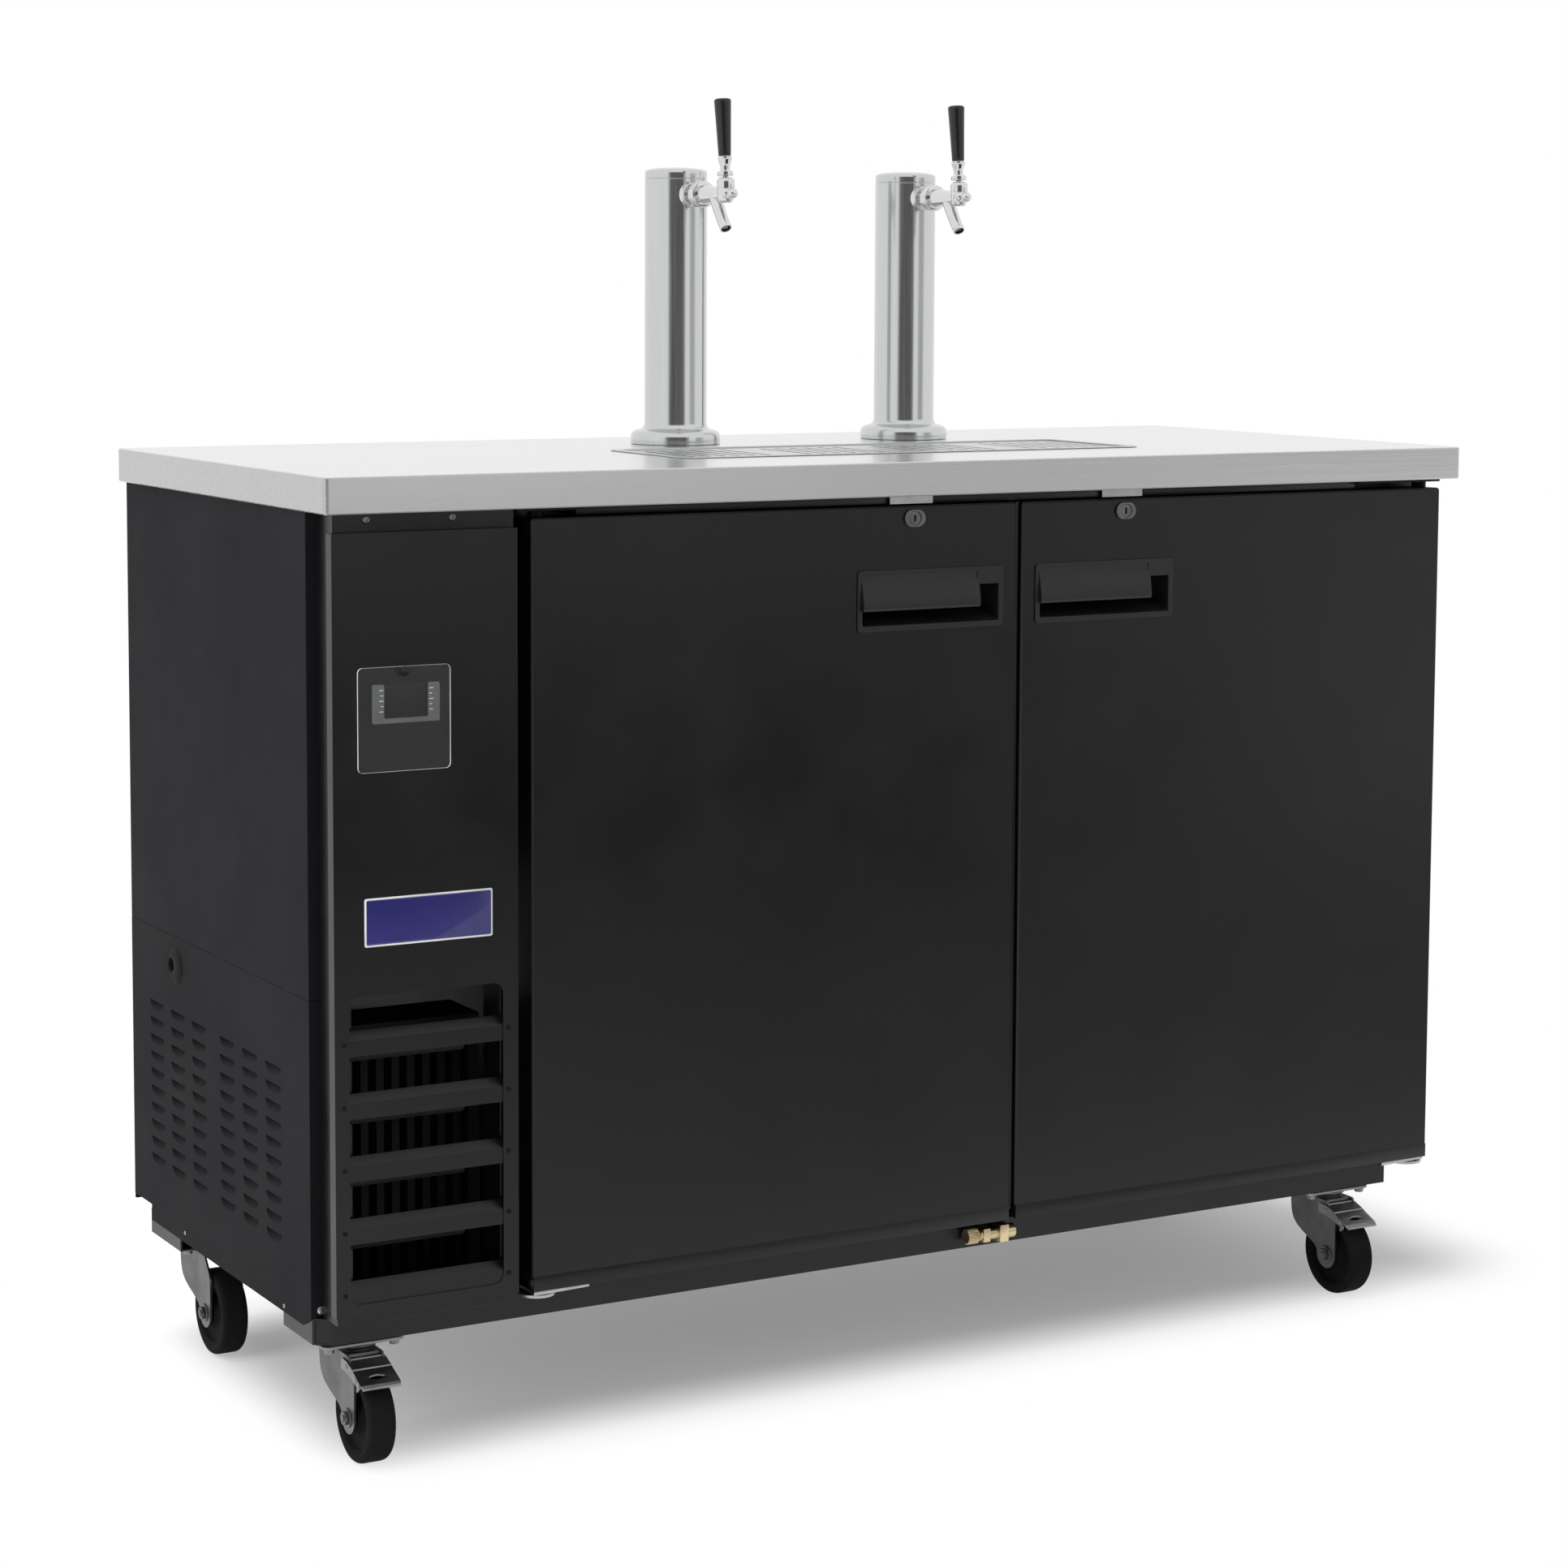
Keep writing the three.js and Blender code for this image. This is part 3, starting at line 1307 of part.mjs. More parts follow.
// Tower: a rolled column welded to its cast flange, bored for the shank
function makeTower(x) {
  const foot = worktop_height + fit_gap;
  const shoulder = tower_flange_height - tower_flange_round;
  const inner = column_radius - column_wall;
  const profile = [
    [inner, foot], [tower_flange_radius - tower_flange_edge, foot],
    [tower_flange_radius, foot + tower_flange_edge], [tower_flange_radius, foot + shoulder],
  ];
  for (let step = 1; step <= flange_steps; step += 1) {
    const angle = quarter_turn * (step / flange_steps);
    profile.push([
      tower_flange_radius - tower_flange_round * (1 - Math.cos(angle)),
      foot + shoulder + tower_flange_round * Math.sin(angle),
    ]);
  }
  const top = worktop_height + column_height;
  const flange_top = foot + tower_flange_height;
  profile.push(
    [column_radius + tower_fillet, flange_top], [column_radius, flange_top + tower_fillet],
    [column_radius, top], [inner, top], [inner, foot],
  );
  const column = turned(profile, 'z', [x, tower_y, 0], fine_facets);
  const hole = bar(
    shank_radius + fit_gap, 'y', [x, 0, tap_z], tower_y - column_radius - overrun, tower_y, plain_facets,
  );
  return cut(column, hole);
}

function makeTowerCap(x) {
  const seam = worktop_height + column_height + fit_gap;
  const plug = column_radius - column_wall - fit_gap;
  const rim_top = seam + cap_height - cap_dome / 2;
  return turned([
    [0, seam - cap_plug], [plug, seam - cap_plug], [plug, seam], [column_radius, seam],
    [column_radius, rim_top], [column_radius - cap_dome / 2, rim_top + cap_dome / 2],
    [column_radius / 2, rim_top + cap_dome], [0, rim_top + cap_dome + cap_crown],
  ], 'z', [x, tower_y, 0], fine_facets);
}

// Shank: a threaded tube through the tower wall, held by a flanged nut inside
const coupling_back = tower_y - column_radius - shank_visible;
function makeShank(x) {
  const inner_chord = Math.sqrt((column_radius - column_wall) ** 2 - shank_radius ** 2);
  const wall_inside = tower_y - inner_chord + shank_nut_gap;
  const end = wall_inside + shank_inside;
  const front = coupling_back - coupling_length / 2;
  return turned([
    [shank_bore_radius, front], [shank_radius, front], [shank_radius, wall_inside + fit_gap],
    [shank_nut_radius, wall_inside + shank_nut_radius - shank_radius],
    [shank_nut_radius, wall_inside + shank_radius],
    [shank_radius, wall_inside + shank_radius], [shank_radius, end], [shank_bore_radius, end],
    [shank_bore_radius, front],
  ], 'y', [x, 0, tap_z], plain_facets);
}

// Faucet: coupling nut, tapering body, bonnet with the lever's ball seat, and the bent spout
const knob_y = coupling_back - coupling_length - faucet_length;
const pivot_y = knob_y + faucet_bonnet_from_knob;
const pivot_z = tap_z + pivot_rise;
function makeFaucet(x) {
  const front = coupling_back - coupling_length;
  const [rib, groove, next_rib] = coupling_rib_shares.map((share) => front + coupling_length * share);
  const nose = faucet_knob_radius * faucet_knob_nose_share;
  const body_profile = [
    [0, knob_y - faucet_knob_radius], [nose, knob_y - nose],
    [faucet_knob_radius, knob_y], [faucet_knob_radius, knob_y + faucet_knob_radius / 2],
    [faucet_neck_radius, knob_y + faucet_knob_radius], [faucet_neck_radius, pivot_y + faucet_neck_radius],
    [faucet_root_radius, front - faucet_root_radius], [faucet_root_radius, front],
    [coupling_radius - coupling_groove, front], [coupling_radius, front + coupling_groove],
    [coupling_radius, rib], [coupling_radius - coupling_groove, groove],
    [coupling_radius, next_rib], [coupling_radius, coupling_back - coupling_groove],
    [coupling_radius - coupling_groove, coupling_back], [0, coupling_back],
  ];
  const body = turned(body_profile, 'y', [x, 0, tap_z], plain_facets);
  const socket = bar(
    shank_radius + fit_gap, 'y', [x, 0, tap_z],
    front + coupling_length / 2 - fit_gap, coupling_back + overrun,
  );
  const bonnet_foot = tap_z - pivot_rise / 2;
  const bonnet_profile = [[0, bonnet_foot], [bonnet_radius, bonnet_foot], [bonnet_radius, pivot_z]];
  for (let step = 1; step <= dome_steps; step += 1) {
    const angle = quarter_turn * (step / dome_steps);
    const radius = step === dome_steps ? 0 : bonnet_radius * Math.cos(angle);
    bonnet_profile.push([radius, pivot_z + bonnet_radius * Math.sin(angle)]);
  }
  const bonnet = turned(bonnet_profile, 'z', [x, pivot_y, 0], plain_facets);
  return cut(join(body, bonnet, spout(x)), socket, leverSeat(x), spoutBore(x));
}

function spoutCurve() {
  const start = new THREE.Vector3(0, pivot_y + spout_reach, tap_z);
  const bend = new THREE.Vector3(
    0, pivot_y + spout_reach * spout_bend_shares.reach, tap_z - spout_drop * spout_bend_shares.drop,
  );
  const end = new THREE.Vector3(0, pivot_y, tap_z - spout_drop);
  return new THREE.QuadraticBezierCurve3(start, bend, end);
}

function pipe(curve, radius, steps, x) {
  const ring = new THREE.Shape();
  ring.absarc(0, 0, radius, 0, 2 * half_turn);
  const settings = { extrudePath: curve, steps, curveSegments: small_facets / 2 };
  const geometry = new THREE.ExtrudeGeometry(ring, settings);
  return solid(geometry.translate(x, 0, 0));
}
const spout = (x) => pipe(spoutCurve(), spout_radius, spout_steps, x);

function spoutBore(x) {
  const curve = spoutCurve();
  const [start, end] = spout_bore_shares.map((share) => curve.getPoint(share));
  const beyond = end.clone().add(end.clone().sub(start).setLength(overrun));
  return pipe(new THREE.LineCurve3(start, beyond), spout_bore_radius, straight_steps, x);
}

// Round seat for the lever's ball, with the slot in which its stem swings
function leverSeat(x) {
  const seat_radius = lever_ball_radius + pin_play;
  const seat = new THREE.SphereGeometry(seat_radius, plain_facets, small_facets);
  seat.translate(x, pivot_y, pivot_z);
  const reach = bonnet_radius + overrun;
  const back = lever_lean + lever_slot_margin;
  const forward = lever_stroke - lever_lean + lever_slot_margin;
  const side = lever_stem_radius + pin_play;
  const sector = [
    [pivot_y + side, pivot_z], [pivot_y + side + reach * Math.sin(back), pivot_z + reach * Math.cos(back)],
  ];
  for (let step = 0; step <= lever_slot_steps; step += 1) {
    const angle = back - (back + forward) * (step / lever_slot_steps);
    sector.push([
      pivot_y + lever_slot_reach * Math.sin(angle), pivot_z + lever_slot_reach * Math.cos(angle),
    ]);
  }
  sector.push(
    [pivot_y - side - reach * Math.sin(forward), pivot_z + reach * Math.cos(forward)],
    [pivot_y - side, pivot_z],
  );
  return solid(seat).add(prism(sector, 'x', x - side, x + side));
}

// Lever: ball, stem, collar, flared ferrule and the stud that the handle screws on to
function leverProfile() {
  const ball = [];
  const last = dome_steps - 1;
  for (let step = 0; step <= last; step += 1) {
    const angle = (half_turn * lever_ball_share * step) / last - quarter_turn;
    ball.push([step === 0 ? 0 : lever_ball_radius * Math.cos(angle), lever_ball_radius * Math.sin(angle)]);
  }
  const collar_top = lever_collar_rise + lever_collar_length;
  const ferrule_top = collar_top + ferrule_length;
  return [
    ...ball, [lever_stem_radius, lever_ball_radius], [lever_stem_radius, lever_collar_rise],
    [lever_collar_radius - overrun, lever_collar_rise], [lever_collar_radius, lever_collar_rise + overrun],
    [lever_collar_radius, collar_top - overrun], [lever_collar_radius - overrun, collar_top],
    [ferrule_bottom_radius, collar_top],
    [ferrule_bottom_radius, collar_top + ferrule_length * ferrule_neck_share],
    [ferrule_top_radius, collar_top + ferrule_length * ferrule_flare_share],
    [ferrule_top_radius, ferrule_top],
    [lever_stud_radius, ferrule_top], [lever_stud_radius, ferrule_top + lever_stud_length],
    [0, ferrule_top + lever_stud_length],
  ];
}

function leaned(profile, x) {
  const geometry = turnedGeometry(profile, 'z', [0, 0, 0], plain_facets);
  return solid(geometry.rotateX(-lever_lean).translate(x, pivot_y, pivot_z));
}

const makeLever = (x) => leaned(leverProfile(), x);

function makeHandle(x) {
  const foot = lever_collar_rise + lever_collar_length + ferrule_length + fit_gap;
  const top = foot + handle_length;
  const bore = lever_stud_radius + fit_gap;
  const bore_top = foot + lever_stud_length + fit_gap;
  return leaned([
    [bore, foot], [handle_bottom_radius - handle_edge, foot], [handle_bottom_radius, foot + handle_edge],
    [handle_top_radius, top - handle_edge * 2], [handle_top_radius - handle_edge, top - handle_edge / 2],
    [handle_top_radius / 2, top], [0, top], [0, bore_top], [bore, bore_top], [bore, foot],
  ], x);
}

// Caster plate: the bolted plate with the upper race of the swivel
function makeCasterPlate(x, y) {
  const low = caster_height - caster_plate_thickness;
  const outline = roundedRectangle(caster_plate_length, caster_plate_depth, caster_plate_corner, x, y);
  const plate = prism(outline, 'z', low, caster_height);
  const [hole, race_low] = [kingpin_radius + pin_play, low - race_height];
  const race = turned([
    [hole, low + overrun], [race_radius, low + overrun], [race_radius, low - race_height / 2],
    [race_radius - race_height / 2, race_low], [hole, race_low], [hole, low + overrun],
  ], 'z', [x, y, 0], plain_facets);
  const bore = bar(hole, 'z', [x, y, 0], race_low - overrun, caster_height + overrun);
  return cut(join(plate, race), bore);
}

// Fork: a pressed yoke with its head, kingpin and axle bolt; the front ones have ears for a pedal
const fork_top = caster_height - fork_top_drop;
const fork_half = wheel_width / 2 + fork_play;
const pedal_pivot_z = fork_top - pedal_pivot_drop;
function forkLeg(x, y, side, braked) {
  const axle_y = y - caster_trail;
  const back = y + fork_head_radius * fork_back_share;
  const shoulder = fork_top - fork_end_radius;
  const shape = new THREE.Shape();
  shape.moveTo(back, fork_top);
  shape.lineTo(back, shoulder);
  shape.lineTo(axle_y + fork_end_radius, axle_z);
  shape.absarc(axle_y, axle_z, fork_end_radius, 0, -half_turn, true);
  if (braked) {
    const ear_y = y - pedal_pivot_forward - pedal_ear;
    shape.lineTo(ear_y - pedal_ear, pedal_pivot_z - pedal_ear);
    shape.lineTo(ear_y - pedal_ear, pedal_pivot_z);
    shape.lineTo(ear_y, fork_top);
  } else {
    shape.lineTo(y - fork_head_radius, shoulder);
    shape.lineTo(y - fork_head_radius, fork_top);
  }
  const inner = side * fork_half;
  const outer = side * (fork_half + fork_wall);
  return prism(shape, 'x', x + Math.min(inner, outer), x + Math.max(inner, outer), {
    curveSegments: fork_end_steps,
  });
}

function makeFork(x, y, braked) {
  const axle_y = y - caster_trail;
  const width = fork_half + fork_wall;
  const nose = braked ? pedal_pivot_forward - pedal_pin_radius - pedal_ear : fork_head_radius;
  const bridge = block(
    x - width, x + width, y - nose, y + fork_head_radius * fork_back_share, fork_top - fork_wall, fork_top,
  );
  const neck = race_radius - race_height / 2;
  const head_top = caster_height - caster_plate_thickness - race_height - fit_gap;
  const [head_root, pin_top] = [fork_top - fork_wall / 2, caster_height - fit_gap];
  const head = turned([
    [0, head_root], [neck, head_root], [neck, head_top], [kingpin_radius, head_top],
    [kingpin_radius, pin_top], [0, pin_top],
  ], 'z', [x, y, 0], plain_facets);
  const axle = bar(
    axle_radius, 'x', [0, axle_y, axle_z], x - width - overrun, x + width + overrun, small_facets,
  );
  const nuts = [-1, 1].map((side) => bar(
    axle_nut_radius, 'x', [0, axle_y, axle_z],
    x + (side < 0 ? -width - axle_nut_length : width), x + (side < 0 ? -width : width + axle_nut_length),
    nut_facets,
  ));
  const legs = [-1, 1].map((side) => forkLeg(x, y, side, braked));
  const pieces = [head, axle, ...nuts, ...legs];
  if (braked) {
    pieces.push(bar(
      pedal_pin_radius, 'x', [0, y - pedal_pivot_forward, pedal_pivot_z], x - width, x + width, small_facets,
    ));
  }
  return join(bridge, ...pieces);
}

// Wheel: a round-shouldered tyre on a dished disc with a proud hub
function makeWheel(x, y) {
  const half = wheel_width / 2;
  const bore = axle_radius + pin_play;
  const rim_inner = wheel_radius - wheel_rim;
  const dish = half - wheel_dish;
  const hub = half + wheel_hub_proud;
  const side = [
    [bore, hub], [wheel_hub_radius, hub], [wheel_hub_radius + wheel_dish, dish],
    [rim_inner, half], [wheel_radius - wheel_round, half], [wheel_radius, half - wheel_round],
  ];
  const mirrored = side.map(([r, t]) => [r, -t]).reverse();
  const profile = [...side, ...mirrored, [bore, hub]];
  return turned(profile, 'x', [x, y - caster_trail, axle_z], wheel_facets, half_turn / wheel_facets);
}

// Brake pedal: a ridged tread plate over the tyre with a turned-down lip, on a sleeve that
// rides on the fork's cross pin
function makePedal(x, y) {
  const pivot_y = y - pedal_pivot_forward;
  const tip_y = y - pedal_reach;
  const root_z = fork_top - pedal_root_drop;
  const tip_z = fork_top - pedal_tip_drop;
  const slope = (tip_z - root_z) / (tip_y - pivot_y);
  const heightAt = (v) => root_z + slope * (v - pivot_y);
  const profile = [
    [pivot_y, heightAt(pivot_y) - pedal_thickness], [pivot_y, heightAt(pivot_y)],
  ];
  const ridge_pitch = (pivot_y - tip_y - pedal_lip) / (pedal_ridges + 1);
  for (let n = 1; n <= pedal_ridges; n += 1) {
    const v = pivot_y - n * ridge_pitch;
    profile.push(
      [v + pedal_ridge, heightAt(v + pedal_ridge)], [v, heightAt(v) + pedal_ridge],
      [v - pedal_ridge, heightAt(v - pedal_ridge)],
    );
  }
  profile.push(
    [tip_y, heightAt(tip_y)], [tip_y - pedal_thickness, heightAt(tip_y) - pedal_lip / 2],
    [tip_y - pedal_thickness, heightAt(tip_y) - pedal_lip], [tip_y, heightAt(tip_y) - pedal_lip],
    [tip_y, heightAt(tip_y) - pedal_thickness],
  );
  const tread = prism(profile, 'x', x - pedal_width / 2, x + pedal_width / 2);
  const inner = fork_half - pedal_side_play;
  const wing_front = pivot_y - 2 * pedal_ear - pedal_side_play;
  const notches = [-1, 1].map((side) => block(
    x + Math.min(side * inner, side * pedal_width), x + Math.max(side * inner, side * pedal_width),
    wing_front, y, tip_z, fork_top,
  ));
  const pivot = [0, pivot_y, pedal_pivot_z];
  const sleeve = bar(pedal_pin_radius + pedal_thickness, 'x', pivot, x - inner, x + inner);
  const bore = bar(
    pedal_pin_radius + fit_gap, 'x', [0, pivot_y, pedal_pivot_z], x - inner - overrun, x + inner + overrun,
  );
  return cut(join(cut(tread, ...notches), sleeve), bore);
}

// Put everything together
place('base_frame', makeBaseFrame(), 'black_steel');
place('cabinet_shell', makeShell(), 'black_steel');
place('inner_liner', makeLiner(), 'aluminium');
place('upper_side_panel', makeUpperSide(), 'black_steel');
place('lower_side_panel', makeLowerSide(), 'black_steel');
place('line_grommet', makeGrommet(), 'black_rubber');
place('rear_grille', makeRearCover(), 'black_steel');
place('cord_gland', makeGland(), 'black_plastic');
place('machine_frame', makeMachineFrame(), 'dark_steel');
place('grille_panel', makeGrillePanel(), 'black_steel');
place('controller', makeController(), 'grey_plastic');
place('controller_cover', makeCover(), 'clear_plastic');
place('worktop', makeWorktop(), 'stainless');
place('drip_pan', makeDripPan(), 'stainless');
place('drip_grate', makeGrate(), 'stainless');
place('drain_valve', makeValve(), 'brass');
place('compressor', makeCompressor(), 'dark_steel');
place('condenser', makeCondenser(), 'aluminium');
place('condenser_fan', makeFan(), 'black_plastic');
place('evaporator', makeEvaporator(), 'aluminium');

for (const [end, side] of [['left', -1], ['right', 1]]) {
  place(`door_${end}`, makeDoor(side), 'black_steel');
  place(`door_gasket_${end}`, makeGasket(side), 'black_rubber');
  place(`door_grip_${end}`, makeGrip(side), 'black_plastic');
  place(`lock_${end}`, makeLock(side), 'zinc');
  place(`lock_strike_${end}`, makeStrike(side), 'zinc');
  place(`bottom_hinge_${end}`, makeBottomHinge(side), 'zinc');
  place(`top_hinge_${end}`, makeTopHinge(side), 'zinc');
}

for (const [end, x] of [['left', tower_left], ['right', tower_right]]) {
  place(`tower_column_${end}`, makeTower(x), 'polished');
  place(`tower_cap_${end}`, makeTowerCap(x), 'polished');
  place(`faucet_shank_${end}`, makeShank(x), 'polished');
  place(`faucet_body_${end}`, makeFaucet(x), 'polished');
  place(`tap_lever_${end}`, makeLever(x), 'polished');
  place(`tap_handle_${end}`, makeHandle(x), 'black_plastic');
}

for (const [end, x] of [['left', caster_left], ['right', caster_right]]) {
  for (const [row, y] of [['front', caster_front], ['rear', caster_back]]) {
    const corner = `${row}_${end}`;
    place(`caster_plate_${corner}`, makeCasterPlate(x, y), 'zinc');
    place(`caster_fork_${corner}`, makeFork(x, y, row === 'front'), 'zinc');
    place(`caster_wheel_${corner}`, makeWheel(x, y), 'black_rubber');
    if (row === 'front') place(`brake_pedal_${end}`, makePedal(x, y), 'polished');
  }
}

export default cooler;
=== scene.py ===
"""Looks for a two-door draught beer cooler with two taps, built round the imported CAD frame.

Sizes are written in millimetres and turned into metres by the mesh builders. The frame has
+X to the right, +Y to the back and +Z up, with the front towards -Y.
"""

import math

import bmesh
import bpy
from mathutils import Matrix, Vector


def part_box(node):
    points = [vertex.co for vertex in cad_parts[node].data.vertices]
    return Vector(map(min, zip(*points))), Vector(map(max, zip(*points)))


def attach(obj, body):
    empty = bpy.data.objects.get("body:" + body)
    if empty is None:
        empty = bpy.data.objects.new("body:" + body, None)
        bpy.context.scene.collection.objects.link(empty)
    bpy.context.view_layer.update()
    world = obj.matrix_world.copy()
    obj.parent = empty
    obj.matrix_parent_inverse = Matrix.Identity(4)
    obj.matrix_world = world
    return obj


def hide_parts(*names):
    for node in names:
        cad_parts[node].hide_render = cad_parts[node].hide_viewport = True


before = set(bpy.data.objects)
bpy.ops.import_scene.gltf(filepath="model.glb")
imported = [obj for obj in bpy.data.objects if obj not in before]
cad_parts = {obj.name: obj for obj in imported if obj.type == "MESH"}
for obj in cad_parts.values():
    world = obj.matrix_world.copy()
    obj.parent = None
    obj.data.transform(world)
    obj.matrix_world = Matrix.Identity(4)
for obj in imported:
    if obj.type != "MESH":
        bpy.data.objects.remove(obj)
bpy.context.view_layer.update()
scene = bpy.context.scene
scene.view_settings.view_transform = "Standard"
MM = 0.001


def corners(name):
    """Lowest and highest corner of a CAD node, in millimetres."""
    low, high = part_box(name)
    return [value / MM for value in low], [value / MM for value in high]


# Camera

FOCAL_PIXELS = 4354.9
IMAGE_PIXELS = 1932
SENSOR = 36.0
YAW = math.radians(29.56)
PITCH = math.radians(5.33)
ROLL = math.radians(0.271)
CAMERA_PLACE = (-2.124, -3.700, 1.278)
CAMERA_SHIFT = -0.12


def make_camera():
    """Camera at the place and with the turn that were solved from the photo's straight edges."""
    forward = Vector((
        math.sin(YAW) * math.cos(PITCH), math.cos(YAW) * math.cos(PITCH), -math.sin(PITCH),
    ))
    right = Vector((math.cos(YAW), -math.sin(YAW), 0.0))
    up = right.cross(forward)
    rolled_right = right * math.cos(ROLL) + up * math.sin(ROLL)
    rolled_up = up * math.cos(ROLL) - right * math.sin(ROLL)
    data = bpy.data.cameras.new("camera")
    data.sensor_width = SENSOR
    data.lens = FOCAL_PIXELS / IMAGE_PIXELS * SENSOR
    data.shift_y = CAMERA_SHIFT
    data.clip_end = 200.0
    camera = bpy.data.objects.new("camera", data)
    turn = Matrix((rolled_right, rolled_up, -forward)).transposed().to_4x4()
    camera.matrix_world = Matrix.Translation(CAMERA_PLACE) @ turn
    scene.collection.objects.link(camera)
    scene.camera = camera


make_camera()


# Materials

WHITE = (1.0, 1.0, 1.0, 1.0)


class Nodes:
    """Short calls for a tree of shader nodes."""

    def __init__(self, tree):
        self.tree = tree

    def add(self, kind, sockets=None, **settings):
        """New node, each named socket given a constant or linked to another node's output."""
        node = self.tree.nodes.new(kind)
        for key, value in settings.items():
            setattr(node, key, value)
        for key, value in (sockets or {}).items():
            if isinstance(value, bpy.types.NodeSocket):
                self.tree.links.new(value, node.inputs[key])
            else:
                node.inputs[key].default_value = value
        return node

    def calculate(self, operation, *values):
        node = self.add("ShaderNodeMath", dict(enumerate(values)), operation=operation)
        return node.outputs["Value"]

    def spread(self, factor, low, high, start=0.3, end=0.7, kind="LINEAR"):
        """Carries a factor from its own range over to another one."""
        sockets = {"Value": factor, "From Min": start, "From Max": end, "To Min": low, "To Max": high}
        return self.add("ShaderNodeMapRange", sockets, interpolation_type=kind).outputs["Result"]

    def mix(self, factor, first, second):
        return self.add("ShaderNodeMixShader", {"Fac": factor, 1: first, 2: second}).outputs["Shader"]

    def seen_rays(self):
        """One for rays of the camera and for those that reflections and clear pieces send on."""
        rays = self.add("ShaderNodeLightPath").outputs
        seen = rays["Is Camera Ray"]
        for name in ("Is Glossy Ray", "Is Transmission Ray"):
            seen = self.calculate("MAXIMUM", seen, rays[name])
        return seen


class Shader(Nodes):
    """A material with short calls for its procedural nodes."""

    def __init__(self, name, colour, metallic, roughness, **sockets):
        self.material = bpy.data.materials.new(name)
        self.material.use_nodes = True
        super().__init__(self.material.node_tree)
        self.surface = self.tree.nodes["Principled BSDF"]
        sockets.update(Base_Color=(*colour, 1.0), Metallic=metallic, Roughness=roughness)
        for socket, value in sockets.items():
            self.surface.inputs[socket.replace("_", " ")].default_value = value
        self.place = self.add("ShaderNodeTexCoord").outputs["Object"]

    def noise(self, scale, detail=3.0, roughness=0.55, stretch=(1.0, 1.0, 1.0)):
        mapping = self.add("ShaderNodeMapping", {"Vector": self.place, "Scale": stretch})
        sockets = {"Scale": scale, "Detail": detail, "Roughness": roughness}
        sockets["Vector"] = mapping.outputs["Vector"]
        return self.add("ShaderNodeTexNoise", sockets).outputs["Fac"]

    def ramp(self, factor, low, high):
        node = self.add("ShaderNodeValToRGB", {"Fac": factor})
        for stop, place, tone in zip(node.color_ramp.elements, (0.3, 0.7), (low, high)):
            stop.position = place
            stop.color = (*tone, 1.0)
        return node.outputs["Color"]

    def colour(self, output):
        self.tree.links.new(output, self.surface.inputs["Base Color"])

    def gloss(self, output):
        self.tree.links.new(output, self.surface.inputs["Roughness"])

    def bump(self, factor, depth, strength):
        """Fine relief, its depth in millimetres."""
        sockets = {"Distance": depth * MM, "Strength": strength, "Height": factor}
        relief = self.add("ShaderNodeBump", sockets)
        self.tree.links.new(relief.outputs["Normal"], self.surface.inputs["Normal"])


def shade(colour, factor):
    return tuple(channel * factor for channel in colour)


def painted(name, colour, roughness, level):
    """Powder or wet paint: fine orange peel, cloudy gloss and a breath of dust."""
    shader = Shader(name, colour, 0.0, roughness, Specular_IOR_Level=level)
    shader.colour(shader.ramp(shader.noise(2.2, 4.0), shade(colour, 0.86), shade(colour, 1.16)))
    shader.gloss(shader.spread(shader.noise(9.0, 5.0), roughness - 0.05, roughness + 0.06))
    shader.bump(shader.noise(420.0, 2.0), 0.05, 0.5)
    return shader.material


def brushed(name, colour, roughness, along, scale=260.0, contrast=0.10, depth=0.01, shade_below=None):
    """Metal with brush lines along one axis, and large soft blotches in its gloss.
    shade_below paints shade: the height below which the colour is darker, and by what share."""
    stretch = [1.0, 1.0, 1.0]
    stretch["xyz".index(along)] = 0.012
    shader = Shader(name, colour, 1.0, roughness)
    lines = shader.noise(scale, 6.0, 0.7, stretch)
    blotch = shader.noise(3.0)
    tone = shader.ramp(lines, shade(colour, 1 - contrast), shade(colour, 1 + contrast))
    # Painted shade: below the given height the colour is scaled darker.
    if shade_below:
        level, share = shade_below
        height = shader.add("ShaderNodeSeparateXYZ", {"Vector": shader.place}).outputs["Z"]
        darker = {0: tone, "Scale": shader.spread(height, share, 1.0, level - 0.0008, level)}
        tone = shader.add("ShaderNodeVectorMath", darker, operation="SCALE").outputs["Vector"]
    shader.colour(tone)
    rough = shader.spread(lines, roughness - 0.06, roughness + 0.07)
    shader.gloss(shader.calculate("MULTIPLY_ADD", blotch, 0.06, rough))
    shader.bump(lines, depth, 0.6)
    return shader.material


def plated(name, colour, roughness, mottle=0.08, grain=60.0):
    """Plated or polished metal with faint smudges and a fine mottle."""
    shader = Shader(name, colour, 1.0, roughness)
    mottled = shader.noise(grain, 4.0)
    smudge = shader.noise(14.0, 5.0, 0.6)
    shader.colour(shader.ramp(mottled, shade(colour, 1 - mottle), shade(colour, 1 + mottle / 2)))
    shader.gloss(shader.spread(smudge, roughness * 0.75, roughness * 1.35))
    shader.bump(mottled, 0.01, 0.3)
    return shader.material


def moulded(name, colour, roughness, grain=900.0, depth=0.03, level=0.5):
    """Plastic or rubber with a fine moulded grain."""
    shader = Shader(name, colour, 0.0, roughness, Specular_IOR_Level=level)
    fine = shader.noise(grain, 2.0)
    cloud = shader.noise(18.0, 3.0)
    shader.colour(shader.ramp(cloud, shade(colour, 0.85), shade(colour, 1.2)))
    shader.gloss(shader.spread(fine, roughness - 0.05, roughness + 0.07))
    shader.bump(fine, depth, 0.6)
    return shader.material


